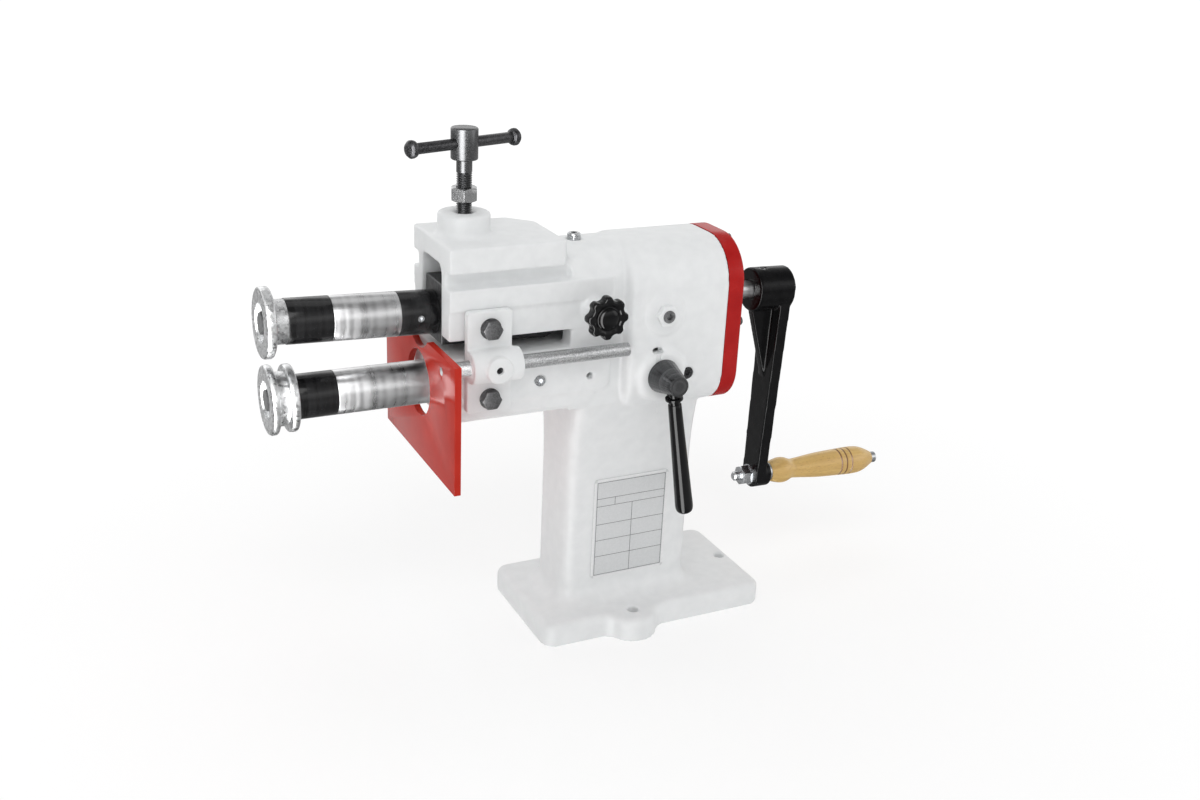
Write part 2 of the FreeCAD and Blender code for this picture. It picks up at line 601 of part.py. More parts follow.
for number, spot in enumerate(COVER_SCREWS, start=1):
    rear_bosses.append(bar(f"rear_boss_{number}", "x", "casing_back - cover_boss_long", "casing_back + 1",
                           "cover_boss", spot))
cavity = cut("cavity", cavity_blank, inner_barrel, inner_bosses, *rear_bosses)

# Channels, bores and holes
channel = rounded("channel", box("channel_block", ("head_front - 1", "casing_front + casing_wall + 1"),
                                 ("-channel_half", "channel_half"), ("arm_high", "channel_high")),
                  ("channel_round",
                   lambda edge, spot: runs_along(edge, "x") and near(spot.z, "channel_high")))
slot = box("slot", ("head_front - 1", "slot_end - slot_round"), ("-rail_half - 1", "rail_half + 1"),
           ("arm_high", "slot_high"))
slot_round = rounded("slot_round", box("slot_round_block", ("slot_end - 30", "slot_end"),
                                       ("-rail_half - 1", "rail_half + 1"), ("arm_high", "slot_high")),
                     ("slot_round", lambda edge, spot: runs_along(edge, "y") and near(spot.x, "slot_end")))
quill_bore = bar("quill_bore", "x", "head_front - 1", "gear_room_front + 1", "quill_radius + running_gap",
                 (0, "lower_line"))
screw_bore = bar("screw_bore", "z", "channel_high - 1", "head_boss_high + 1", "thread_radius + running_gap",
                 ("screw_across", 0))
boss_sink = bar("boss_sink", "z", "head_boss_high - boss_sink_deep", "head_boss_high + 1", "boss_sink",
                ("screw_across", 0))
cone_bores = bar("cone_bores", "y", "-trunnion_face - 1", "trunnion_face + 1", "cone_screw",
                 ("pivot_across", "pivot_line"))
lever_bore = bar("lever_bore", "y", "-lever_face - 1", "-quill_radius + 6", "lever_bore + running_gap",
                 ("pivot_across", "lower_line"))
knob_bore = bar("knob_bore", "y", "-knob_boss_face - 1", "-channel_half + 1", "knob_stud + running_gap",
                ("knob_across", "knob_up"))
guide_bore = bar("guide_bore", "y", "-pad_half - 1", "-quill_radius + 1", "guide_screw",
                 ("guide_screw_across", "guide_screw_up"))
spare_bore = bar("spare_bore", "y", "-pad_half - 1", "-pad_half + spare_hole_deep", "spare_hole",
                 ("spare_hole_across", "spare_hole_up"))
bolt_bores = [bar(f"bolt_bore_{name}", "y", "-bracket_face", "-bracket_face + bolt_long + 1", "bolt_radius",
                  ("bolt_across", name)) for name in ("bolt_high", "bolt_low")]
filler_bore = bar("filler_bore", "z", "casing_high - casing_wall - 1", "casing_high + 1", "filler_radius",
                  ("filler_across", 0))
oil_bore = bar("oil_bore", "z", "lower_line + lever_bore - 1", "lower_line + lever_boss_foot", "oil_plug",
               ("oil_plug_across", "-oil_plug_out"))
access_at = ("access_across", "access_up")
access_bore = bar("access_bore", "y", "-lever_face - 1", "-casing_half + casing_wall + 1", "access_plug",
                  access_at)
cover_bores = [bar(f"cover_bore_{number}", "x", "casing_back - cover_screw_deep - 1", "casing_back + 1",
                   "cover_screw / 2", spot)
               for number, spot in enumerate(COVER_SCREWS, start=1)]
foot_bores = []
for name, spot in (("near", ("lobe_across", "-lobe_hole_out")), ("far", ("lobe_across", "lobe_hole_out")),
                   ("end", ("end_hole_across", 0))):
    foot_bores.append(bar(f"foot_bore_{name}", "z", -1, "foot_thick + 1", "foot_hole / 2", spot))
core = rounded("core", box("core_block", ("column_front + column_wall", "column_back - column_wall"),
                           ("-column_half + column_wall", "column_half - column_wall"), (-1, "core_top")),
               ("column_corner - 5", lambda edge, spot: runs_along(edge, "z") or near(spot.z, "core_top")))
hollowed = cut("hollowed", outside, cavity)
channelled = cut("channelled", hollowed, channel, slot, slot_round)
bored = cut("bored", channelled, quill_bore, screw_bore, boss_sink, filler_bore)
side_bored = cut("side_bored", bored, cone_bores, lever_bore, knob_bore, guide_bore, spare_bore, access_bore,
                 *bolt_bores)
keep("frame_casting", cut("frame_casting", side_bored, oil_bore, *cover_bores, *foot_bores, core))

# Rear cover and its screws
cover = rounded("cover_edge", casing_block("cover_skin", "casing_back", "cover_back", "0"),
                ("cover_edge", lambda edge, spot: near(spot.x, "cover_back")))
shaft_hole = bar("cover_shaft_hole", "x", "casing_back - 1", "cover_back + 1", "cover_shaft_hole",
                 (0, "pivot_line - (cover_back - pivot_across) * tan(open_tilt * 1 deg) + 1"))
cover_hollow = casing_block("cover_hollow", "casing_back - 1", "cover_back - cover_skin",
                            "casing_wall + cover_rim")
cover_holes = [bar(f"cover_hole_{number}", "x", "casing_back - 1", "cover_back + 1", "cover_screw / 2", spot)
               for number, spot in enumerate(COVER_SCREWS, start=1)]
keep("rear_cover", cut("rear_cover", cover, shaft_hole, cover_hollow, *cover_holes))
screws = []
for number, spot in enumerate(COVER_SCREWS, start=1):
    shank = bar(f"cover_shank_{number}", "x", "casing_back - cover_screw_deep", "cover_back",
                "cover_screw / 2", spot)
    head = bar(f"cover_head_{number}", "x", "cover_back", "cover_back + cover_screw_rise",
               "cover_screw_head", spot)
    socket = hexagon(f"cover_socket_{number}", "x", "cover_back + 1", "cover_back + cover_screw_rise + 1",
                     "cover_screw_head / 2", spot)
    screws.append(cut(f"cover_screw_{number}", join(f"cover_screw_blank_{number}", shank, head), socket))
keep("cover_screws", group("cover_screws", *screws))

# Rating plate, left bare
rating_blank = box("rating_blank", ("plate_left", "plate_right"),
                   ("-column_half - plate_thick", "-column_half"), ("plate_low", "plate_high"))
keep("rating_plate", rounded("rating_plate", rating_blank,
                             ("plate_corner", lambda edge, spot: runs_along(edge, "y"))))

# Plugs and the quill's guide screw
filler_blank = bar("filler_blank", "z", "casing_high - casing_wall - 0.5", "filler_high", "filler_radius",
                   ("filler_across", 0))
filler_body = rounded("filler_body", filler_blank,
                      ("filler_edge", lambda edge, spot: near(spot.z, "filler_high")))
keep("oil_filler_plug", cut("filler_plug", filler_body,
                            hexagon("filler_socket", "z", "filler_high - plug_socket", "filler_high + 1",
                                    "filler_radius / 2", ("filler_across", 0))))
keep("lever_oil_plug", bar("lever_plug", "z", "lower_line + lever_bore + 1", "lower_line + lever_boss",
                           "oil_plug", ("oil_plug_across", "-oil_plug_out")))
access_body = bar("access_body", "y", "-casing_half + access_sunk", "-casing_half + casing_wall - 0.5",
                  "access_plug", access_at)
keep("gear_access_plug", cut("access_plug", access_body,
                             hexagon("access_socket", "y", "-casing_half",
                                     "-casing_half + access_sunk + plug_socket", "access_plug / 2",
                                     access_at)))
guide_at = ("guide_screw_across", "guide_screw_up")
guide = join("guide_blank",
             bar("guide_body", "y", "-pad_half - guide_proud", "-quill_radius - 1", "guide_screw", guide_at),
             bar("guide_tip", "y", "-quill_radius - 1", "-quill_radius + guide_tip_in", "guide_tip",
                 guide_at))
keep("quill_guide_screw", cut("guide_screw", guide,
                              hexagon("guide_socket", "y", "-pad_half - 1", "-pad_half + plug_socket",
                                      "guide_screw * 0.56", guide_at)))

# Trunnion cone screws and their lock nuts
pivot_at = ("pivot_across", "pivot_line")
cone_screws = []
lock_nuts = []
for side, sign in (("near", "-1"), ("far", "1")):
    def span(first, second):
        """A pair of planes on this side, in rising order."""
        ends = [f"({sign}) * ({first})", f"({sign}) * ({second})"]
        return ends if sign == "1" else ends[::-1]
    body = bar(f"cone_body_{side}", "y", *span("channel_half + 1", "cone_screw_out"), "cone_screw", pivot_at)
    tip = bar(f"cone_tip_{side}", "y", *span("arm_block_half - cone_tip_long", "channel_half + 1"),
              "cone_tip", pivot_at)
    socket = hexagon(f"cone_socket_{side}", "y", *span("cone_screw_out - 6", "cone_screw_out + 1"),
                     "cone_screw * 0.55", pivot_at)
    cone_screws.append(cut(f"cone_screw_{side}", join(f"cone_blank_{side}", body, tip), socket))
    nut = hex_head(f"small_nut_{side}", "y", *span("trunnion_face", "trunnion_face + small_nut_thick"),
                   "small_nut", pivot_at, sign == "1")
    lock_nuts.append(cut(f"trunnion_nut_{side}", nut, bar(f"small_nut_bore_{side}", "y",
                                                         *span("trunnion_face - 1", "cone_screw_out"),
                                                         "cone_screw", pivot_at)))
keep("trunnion_screws", group("trunnion_screws", *cone_screws))
keep("trunnion_lock_nuts", group("trunnion_lock_nuts", *lock_nuts))

# Swing arm, drawn along the upper shaft from its pivot
slant_end = "slant_from - pivot_across"
arm_side = plate("arm_side", "XZ_Plane",
                 [("arm_front", "-arm_block_down"), (slant_end, "-arm_block_down"),
                  ("slant_to - pivot_across", "-pivot_block"), ("pivot_block", "-pivot_block"),
                  ("pivot_block", "pivot_block"), ("slant_to - pivot_across", "pivot_block"),
                  (slant_end, "arm_block_up"), ("arm_front", "arm_block_up")],
                 "-arm_block_half", "2 * arm_block_half")
barrel = bar("barrel", "x", slant_end, "arm_tail", "barrel_radius")
arm_relief = bar("arm_relief", "x", "arm_front + 1", "arm_tail - 1", "shaft_radius + arm_relief")
arm_seats = [bar("arm_seat_front", "x", "arm_front - 1", "arm_front + bush_length", "bush_radius"),
             bar("arm_seat_back", "x", "arm_tail - bush_length", "arm_tail + 1", "bush_radius")]
tip_holes = [bar("tip_hole_near", "y", "-arm_block_half - 1", "-arm_block_half + cone_tip_long + face_gap",
                 "cone_tip + running_gap"),
             bar("tip_hole_far", "y", "arm_block_half - cone_tip_long - face_gap", "arm_block_half + 1",
                 "cone_tip + running_gap")]
spring_at = "screw_across - pivot_across"
spring_holes = [bar(f"spring_hole_{side}", "z", "-arm_block_down - 1", "-arm_block_down + spring_pocket",
                    "spring_hole", (spring_at, f"{sign} * spring_out"))
                for side, sign in (("near", "-1"), ("far", "1"))]
keep("swing_arm", on_arm(cut("swing_arm", join("swing_arm_blank", arm_side, barrel), arm_relief, *arm_seats,
                             *tip_holes, *spring_holes)))
bush_bore = "shaft_radius + running_gap"
keep("swing_arm_bushes", on_arm(group("swing_arm_bushes",
     stepped("arm_bush_front", "arm_front", bush_bore, ("arm_front + bush_length", "bush_radius")),
     stepped("arm_bush_back", "arm_tail - bush_length", bush_bore, ("arm_tail", "bush_radius")))))

# Upper shaft and what turns with it
upper_shaft = stepped("upper_shaft_body", "upper_shaft_start", 0, ("upper_nut_end", "shaft_radius"),
                      ("crank_end", "stub_radius"))
gear_key_at = "shaft_radius - key_depth"
upper_key = box("upper_key_block", ("upper_gear_start + 2", "upper_gear_end - 2"),
                ("-key_width / 2", "key_width / 2"), (gear_key_at, "shaft_radius + key_depth"))
screw_hole = bar("upper_screw_hole", "x", "upper_shaft_start - 1", "upper_shaft_start + roller_screw_long",
                 "roller_screw_radius")
keep("upper_shaft", on_arm(cut("upper_shaft", upper_shaft, upper_key, screw_hole)))
keep("upper_gear_key", on_arm(group("upper_gear_key", box("upper_key_piece",
     ("upper_gear_start + 2", "upper_gear_end - 2"), ("-key_width / 2", "key_width / 2"),
     (gear_key_at, "shaft_radius + key_depth")))))


def rim(start, end, radius):
    """Corners of a flange rim that is rounded at both edges, as (along, radius)."""
    return [(start, f"{radius} - rim_round"), (f"{start} + rim_round * 0.3", f"{radius} - rim_round * 0.3"),
            (f"{start} + rim_round", radius), (f"{end} - rim_round", radius),
            (f"{end} - rim_round * 0.3", f"{radius} - rim_round * 0.3"), (end, f"{radius} - rim_round")]


def recessed(front):
    """Inner corners at a roller's front: the clamp screw's recess, back to the shaft bore."""
    return [(f"{front} + recess_depth", "shaft_radius"), (f"{front} + recess_depth", "roller_recess"),
            (front, "roller_recess")]


keep("upper_roller", on_arm(turned("upper_roller",
     [("upper_spacer_start", "shaft_radius")] + recessed("upper_roller_front")
     + rim("upper_roller_front", "upper_roller_front + upper_flange", "roller_radius")
     + [("upper_roller_front + upper_flange", "upper_hub"), ("upper_spacer_start", "upper_hub")])))
keep("upper_spacer", on_arm(stepped("upper_spacer", "upper_spacer_start", "shaft_radius",
                                    ("upper_sleeve_start", "sleeve_radius"))))
keep("upper_sleeve", on_arm(stepped("upper_sleeve", "upper_sleeve_start", "shaft_radius",
                                    ("collar_start", "sleeve_radius"))))
collar_screw_at = ("collar_start + collar_length / 2", 0)
collar_hole = bar("collar_hole", "y", "-sleeve_radius - 1", "-shaft_radius", "grub_screw", collar_screw_at)
keep("upper_collar", on_arm(cut("upper_collar", stepped("upper_collar_ring", "collar_start", "shaft_radius",
                                                        ("collar_start + collar_length", "sleeve_radius")),
                                collar_hole)))
keep("upper_collar_screw", on_arm(cut("collar_screw",
     bar("collar_screw_body", "y", "-sleeve_radius + grub_sunk", "-shaft_radius", "grub_screw",
         collar_screw_at),
     hexagon("collar_socket", "y", "-sleeve_radius", "-sleeve_radius + grub_screw", "grub_socket",
             collar_screw_at))))


def clamp_screw(name, start):
    """Hexagon screw and washer that hold a roller against the shaft's end."""
    washer = stepped(name + "_washer", f"{start} - roller_washer_thick", "roller_screw_radius",
                     (start, "roller_washer"))
    head = hex_head(name + "_head", "x", f"{start} - roller_washer_thick - roller_screw_high",
                    f"{start} - roller_washer_thick", "roller_screw_head * 2", (0, 0), False)
    shank = bar(name + "_shank", "x", f"{start} - roller_washer_thick",
                f"{start} + roller_screw_long - 1", "roller_screw_radius")
    return join(name + "_screw", head, shank), washer


upper_clamp, upper_washer = clamp_screw("upper_clamp", "upper_shaft_start")
keep("upper_roller_screw", on_arm(upper_clamp))
keep("upper_roller_washer", on_arm(upper_washer))


def gear(name, start, end, key):
    """A spur gear with a tooth straight up, its bore cut for the key."""
    body = stepped(name + "_wheel", start, "shaft_radius", (end, "root_radius"))
    half = "(gear_module * pi / 4 - 0.16 * gear_module)"
    flank = [("0.5 * gear_module", "root_radius - gear_module / 2"), ("0.45 * gear_module", "root_radius"),
             ("0", "gear_pitch"), ("-0.38 * gear_module", "tip_radius")]
    left = [(f"-{half} - {lean}", up) for lean, up in flank]
    right = [(f"{half} + {lean}", up) for lean, up in reversed(flank)]
    tooth = outline(body, "YZ_Plane", left + right)
    tooth.setExpression("AttachmentOffset.Base.z", formula(start))
    pad = body.newObject("PartDesign::Pad", name + "_tooth")
    pad.Profile = tooth
    pad.setExpression("Length", formula(f"({end}) - ({start})"))
    doc.recompute()
    ring = body.newObject("PartDesign::PolarPattern", name + "_ring")
    ring.Originals = [pad]
    ring.Axis = ([item for item in body.Origin.OriginFeatures if item.Role == "X_Axis"][0], [""])
    ring.Angle = 360
    ring.setExpression("Occurrences", formula("gear_teeth"))
    body.Tip = ring
    return cut(name, body, key)


upper_gear_hub = stepped("upper_gear_hub", "arm_tail + face_gap", "shaft_radius",
                         ("upper_gear_start", "gear_hub"))
upper_wheel = gear("upper_gear_cut", "upper_gear_start", "upper_gear_end", upper_key)
keep("upper_gear", on_arm(join("upper_gear_all", upper_wheel, upper_gear_hub)))
keep("upper_gear_nut", on_arm(stepped("upper_gear_nut", "upper_gear_end", "shaft_radius",
                                      ("upper_nut_end", "shaft_nut_radius"))))

# Crank arm: hub, tapered plate, web and grip boss
crank_hub = bar("crank_hub", "x", "crank_hub_start", "crank_end", "crank_hub")
crank_boss = bar("crank_boss", "x", "crank_plate_start", "crank_boss_end", "crank_low_half",
                 (0, "-crank_throw"))
crank_plate = plate("crank_plate", "YZ_Plane",
                    [("-crank_low_half", "-crank_throw"), ("crank_low_half", "-crank_throw"),
                     ("crank_top_half", 0), ("-crank_top_half", 0)], "crank_plate_start", "crank_plate")
crank_web = plate("crank_web", "XZ_Plane",
                  [("crank_hub_start + 3", 0), ("crank_hub_start + 3", "-crank_hub + 1"),
                   ("crank_plate_start", "-crank_web_drop"), ("crank_plate_start + 2", "-crank_web_drop"),
                   ("crank_plate_start + 2", 0)], "-crank_web / 2", "crank_web")
crank_blank = rounded("crank_edges", join("crank_blank", crank_hub, crank_boss, crank_plate, crank_web),
                      ("crank_edge", lambda edge, spot: near(spot.x, "crank_hub_start")
                       or near(spot.x, "crank_boss_end")))
crank_bore = bar("crank_bore", "x", "crank_hub_start - 1", "crank_end + 1", "stub_radius")
pin_bore = bar("crank_pin_bore", "x", "crank_plate_start - 1", "crank_boss_end + 1", "grip_bolt",
               (0, "-crank_throw"))
crank_screw_at = ("crank_hub_start + crank_screw_across", 0)
crank_screw_bore = bar("crank_screw_bore", "z", "stub_radius", "crank_hub + 1", "crank_screw",
                       crank_screw_at)
keep("crank_arm", on_arm(cut("crank_arm", crank_blank, crank_bore, pin_bore, crank_screw_bore)))
keep("crank_set_screw", on_arm(cut("crank_set_screw",
     bar("crank_screw_body", "z", "stub_radius", "crank_hub - 1", "crank_screw", crank_screw_at),
     hexagon("crank_screw_socket", "z", "crank_hub - crank_screw - 1", "crank_hub", "crank_socket",
             crank_screw_at))))

# Grip bolt, its nut and washer, and the turned wooden grip
grip_at = (0, "-crank_throw")
grip_shank = bar("grip_shank", "x", "grip_bolt_start + grip_point", "grip_end", "grip_bolt", grip_at)
grip_point = cone("grip_point", "x", "grip_bolt_start", "grip_bolt_start + grip_point",
                  "grip_bolt - grip_point", "grip_bolt", grip_at)
grip_cap = bar("grip_cap", "x", "grip_end + face_gap", "grip_end + grip_cap_long", "grip_end_cap", grip_at)
grip_neck = bar("grip_neck", "x", "grip_end", "grip_end + 1", "grip_bolt", grip_at)
keep("grip_bolt", on_arm(join("grip_bolt", grip_shank, grip_point, grip_cap, grip_neck)))
nut_end = "grip_nut_start + grip_nut_thick"
nut_blank = hex_head("grip_nut_blank", "x", "grip_nut_start", nut_end, "small_nut", grip_at, False)
keep("grip_nut", on_arm(cut("grip_nut", nut_blank, bar("grip_nut_bore", "x", "grip_nut_start - 1",
                                                       f"{nut_end} + 1", "grip_bolt", grip_at))))
keep("grip_washers", on_arm(group("grip_washers",
     cut("grip_washer_front",
         bar("grip_washer_disc", "x", nut_end, "crank_plate_start", "grip_washer", grip_at),
         bar("grip_washer_bore", "x", "grip_nut_start", "crank_plate_start + 1", "grip_bolt", grip_at)),
     cut("grip_washer_back",
         bar("grip_washer_disc_back", "x", "crank_boss_end", "grip_start - face_gap", "grip_washer - 1",
             grip_at),
         bar("grip_washer_bore_back", "x", "crank_boss_end - 1", "grip_start", "grip_bolt", grip_at)))))

GRIP_CURVE = [(0, 10.2), (0.05, 12.2), (0.1, 13.6), (0.15, 13.2), (0.21, 10.5), (0.27, 10.8), (0.45, 13.2),
              (0.62, 14.3), (0.8, 15), (0.9, 13.4), (1, 7.4)]
GRIP_GROOVES = (0.66, 0.71, 0.76)
grip = doc.addObject("Part::Feature", "wooden_grip")
throw = value("crank_throw")
grip_line = Part.BSplineCurve()
grip_line.interpolate([Vector(value("grip_start") + share * value("grip_length"), 0, radius - throw)
                       for share, radius in GRIP_CURVE])
bore = value("grip_bolt + grip_play") - throw
first = grip_line.value(grip_line.FirstParameter)
last = grip_line.value(grip_line.LastParameter)
inner = [Vector(last.x, 0, bore), Vector(first.x, 0, bore)]
grip_edges = [grip_line.toShape(), Part.makeLine(last, inner[0]), Part.makeLine(inner[0], inner[1]),
              Part.makeLine(inner[1], first)]
grip_shape = Part.Face(Part.Wire(grip_edges)).revolve(Vector(0, 0, -throw), Vector(1, 0, 0), 360)
for share in GRIP_GROOVES:
    centre = Vector(value("grip_start") + share * value("grip_length"), 0, -throw)
    groove = Part.makeTorus(value("groove_out"), value("groove"), centre, Vector(1, 0, 0))
    grip_shape = grip_shape.cut(groove)
grip.Shape = grip_shape
keep("wooden_grip", on_arm(grip))

# Quill, its bushes and the lower shaft
slot_half = "eccentric_pin + face_gap"
quill_tube = stepped("quill_tube", "quill_front", "shaft_radius + quill_relief",
                     ("quill_back", "quill_radius"))
quill_seats = [bar("quill_seat_front", "x", "quill_front - 1", "quill_front + bush_length", "bush_radius"),
               bar("quill_seat_back", "x", "quill_back - bush_length", "quill_back + 1", "bush_radius")]
pin_slot = box("pin_slot", (f"pivot_across - ({slot_half})", f"pivot_across + {slot_half}"),
               ("-quill_radius - 1", "-pin_reach + face_gap"),
               ("-eccentric - eccentric_pin - 1", "eccentric + eccentric_pin + 1"))
guide_slot = box("guide_slot",
                 ("guide_screw_across - guide_slot_long / 2", "guide_screw_across + guide_slot_long / 2"),
                 ("-quill_radius - 1", "-quill_radius + guide_slot_deep"),
                 ("guide_screw_up - lower_line - guide_tip - slip_gap",
                  "guide_screw_up - lower_line + guide_tip + slip_gap"))
keep("lower_quill", on_lower(cut("lower_quill", quill_tube, *quill_seats, pin_slot, guide_slot)))
keep("quill_bushes", on_lower(group("quill_bushes",
     stepped("quill_bush_front", "quill_front", bush_bore, ("quill_front + bush_length", "bush_radius")),
     stepped("quill_bush_back", "quill_back - bush_length", bush_bore, ("quill_back", "bush_radius")))))
lower_key = box("lower_key_block", ("lower_gear_start + 2", "lower_gear_end - 2"),
                ("-key_width / 2", "key_width / 2"), (gear_key_at, "shaft_radius + key_depth"))
lower_hole = bar("lower_screw_hole", "x", "lower_shaft_start - 1", "lower_shaft_start + roller_screw_long",
                 "roller_screw_radius")
lower_end = "lower_gear_end + shaft_nut_high"
lower_body = stepped("lower_shaft_body", "lower_shaft_start", 0, (lower_end, "shaft_radius"))
keep("lower_shaft", on_lower(cut("lower_shaft", lower_body, lower_key, lower_hole)))
keep("lower_gear_key", on_lower(group("lower_gear_key", box("lower_key_piece",
     ("lower_gear_start + 2", "lower_gear_end - 2"), ("-key_width / 2", "key_width / 2"),
     (gear_key_at, "shaft_radius + key_depth")))))
back_end = "lower_spacer_start"
keep("lower_roller", on_lower(turned("lower_roller",
     [(back_end, "shaft_radius")] + recessed("lower_roller_front")
     + rim("lower_roller_front", "lower_groove_start", "roller_radius")
     + [("lower_groove_start", "lower_groove_radius"), ("lower_back_start", "lower_groove_radius")]
     + rim("lower_back_start", back_end, "roller_radius - 1"))))
keep("lower_spacer", on_lower(stepped("lower_spacer", "lower_spacer_start", "shaft_radius",
                                      ("lower_sleeve_start", "sleeve_radius"))))
keep("lower_sleeve", on_lower(stepped("lower_sleeve", "lower_sleeve_start", "shaft_radius",
                                      ("quill_front - face_gap", "sleeve_radius"))))
lower_clamp, lower_washer = clamp_screw("lower_clamp", "lower_shaft_start")
keep("lower_roller_screw", on_lower(lower_clamp))
keep("lower_roller_washer", on_lower(lower_washer))
lower_gear_hub = stepped("lower_gear_hub", "quill_back + face_gap", "shaft_radius",
                         ("lower_gear_start", "gear_hub"))
lower_wheel = gear("lower_gear_cut", "lower_gear_start", "lower_gear_end", lower_key)
keep("lower_gear", on_lower(join("lower_gear_all", lower_wheel, lower_gear_hub)))
keep("lower_gear_nut", on_lower(stepped("lower_gear_nut", "lower_gear_end", "shaft_radius",
                                        (lower_end, "shaft_nut_radius"))))

# Eccentric lever
lever_at = ("pivot_across", "lower_line")
hub_end = "-lever_hub_face + lever_spigot"
boss_side = "-lever_face - face_gap"
pin_root = "-quill_radius - eccentric - 1"
keep("eccentric_shaft", join("eccentric_shaft",
     bar("eccentric_spigot", "y", hub_end, boss_side, "lever_spigot", lever_at),
     bar("eccentric_body", "y", boss_side, pin_root, "lever_bore", lever_at),
     bar("eccentric_nose", "y", pin_root, "-pin_reach", "eccentric_pin",
         ("pivot_across", "lower_line + eccentric"))))


def on_lever(thing):
    """Seats a thing drawn along X, from the hub's axis, on the lever's leaning line."""
    turn = Rotation(Vector(0, 1, 0), 90 - value("lever_lean"))
    return place(thing, "pivot_across", "-lever_out", "lower_line", turn, "90 - lever_lean")


hub_cone = cone("lever_hub_cone", "y", "-lever_hub_face", boss_side, "lever_hub_small", "lever_hub_big",
                lever_at)
hub_bore = bar("lever_hub_bore", "y", hub_end, "-lever_face", "lever_spigot", lever_at)
rod_socket = on_lever(stepped("rod_socket", "lever_rod_top", 0, ("lever_rod_in", "lever_rod")))
keep("lever_hub", cut("lever_hub", hub_cone, hub_bore, rod_socket))
grip_top = "lever_start + grip_gap"
grip_low = "lever_start + grip_long"
keep("lever_rod", on_lever(stepped("lever_rod", "lever_rod_top + slip_gap", 0,
                                   ("lever_start + 1", "lever_rod"), ("lever_start + 3.5", "lever_neck"),
                                   (grip_top, "grip_thin - 0.6"),
                                   ("lever_start + lever_rod_end", "lever_rod"))))
grip_body = on_lever(turned("lever_grip_body",
                            [(grip_top, 0), (grip_top, "grip_thin"),
                             (f"{grip_low} - grip_thick", "grip_thick"),
                             (f"{grip_low} - grip_thick * 0.45", "grip_thick * 0.94"),
                             (f"{grip_low} - grip_thick * 0.12", "grip_thick * 0.66"),
                             (grip_low, "grip_thick * 0.3"), (grip_low, 0)]))
grip_bore = on_lever(stepped("lever_grip_bore", "lever_start", 0,
                             ("lever_start + lever_rod_end", "lever_rod")))
keep("lever_grip", cut("lever_grip", grip_body, grip_bore))

# Clamp stud and star knob
knob_at = ("knob_across", "knob_up")
keep("clamp_stud", bar("clamp_stud", "y", "-knob_face + knob_cap", "-arm_block_half - 2 * face_gap",
                       "knob_stud", knob_at))
knob_disc = bar("knob_disc", "y", "-knob_back - knob_disc - knob_neck_long", "-knob_back - knob_neck_long",
                "knob_radius", knob_at)
knob_neck = bar("knob_neck", "y", "-knob_back - knob_neck_long", "-knob_boss_face - face_gap", "knob_neck",
                knob_at)
knob_crown = cone("knob_crown", "y", "-knob_face", "-knob_back - knob_disc - knob_neck_long",
                  "knob_neck * 0.8", "knob_neck * 1.3", knob_at)
scallops = [bar(f"scallop_{number}", "y", "-knob_face - 1", "-knob_back", "scallop",
                (f"knob_across + scallop_out * cos({number * 45 + 22.5} deg)",
                 f"knob_up + scallop_out * sin({number * 45 + 22.5} deg)")) for number in range(8)]
star = rounded("star_edges", cut("star_blank", knob_disc, *scallops),
               ("knob_edge", lambda edge, spot: near(spot.y, "-knob_back - knob_disc - knob_neck_long")
                or near(spot.y, "-knob_back - knob_neck_long")))
keep("star_knob", cut("star_knob", join("star_body", star, knob_neck, knob_crown),
                      bar("knob_bore_hole", "y", "-knob_face + knob_cap", "-knob_boss_face", "knob_stud",
                          knob_at)))

# Press screw with its tommy bar, lock nut and thrust pad
screw_at = ("screw_across", 0)
press = join("press_blank",
             bar("press_tip", "z", "thrust_high - screw_tip_long", "thrust_high", "screw_tip", screw_at),
             bar("press_thread", "z", "thrust_high", "thread_top", "thread_radius", screw_at),
             bar("press_neck", "z", "thread_top", "screw_head_low", "thread_radius", screw_at),
             bar("press_head", "z", "screw_head_low", "screw_head_high", "screw_head_radius", screw_at))
press = rounded("press_edges", press, ("screw_head_edge", lambda edge, spot: near(spot.z, "screw_head_high")
                                       or (near(spot.z, "screw_head_low")
                                           and edge.BoundBox.XLength > value("screw_head_radius") * 1.8)))


def on_bar(thing):
    """Seats a thing drawn along X on the tommy bar's turned line."""
    turn = Rotation(Vector(0, 0, 1), value("bar_turn"))
    return place(thing, "screw_across", 0, "bar_up", turn, "bar_turn")


bar_hole = on_bar(stepped("bar_hole", "-screw_head_radius - 1", 0, ("screw_head_radius + 1",
                                                                   "bar_radius + slip_gap")))
keep("press_screw", cut("press_screw", press, bar_hole))
bar_end = "bar_half - bar_knob_long / 2"
keep("tommy_bar", on_bar(stepped("tommy_bar", f"-({bar_end}) - 2", 0, (f"{bar_end} + 2", "bar_radius"))))


def bar_knob(name, sign):
    """A domed end knob of the tommy bar, with the hole that the bar is pressed into."""
    inside = f"{sign} * ({bar_end})"
    spots = [(0, 0.62), (0.15, 0.92), (0.35, 1), (0.6, 1), (0.85, 0.78), (1, 0.4)]
    points = [(f"{inside} + {sign} * {along} * bar_knob_long * 1.1", f"bar_knob * {share}")
              for along, share in spots]
    hole = [(f"{inside} + {sign} * bar_knob_long * 1.1", 0), (f"{inside} + {sign} * 2", 0),
            (f"{inside} + {sign} * 2", "bar_radius"), (inside, "bar_radius")]
    return turned(name, points + hole)


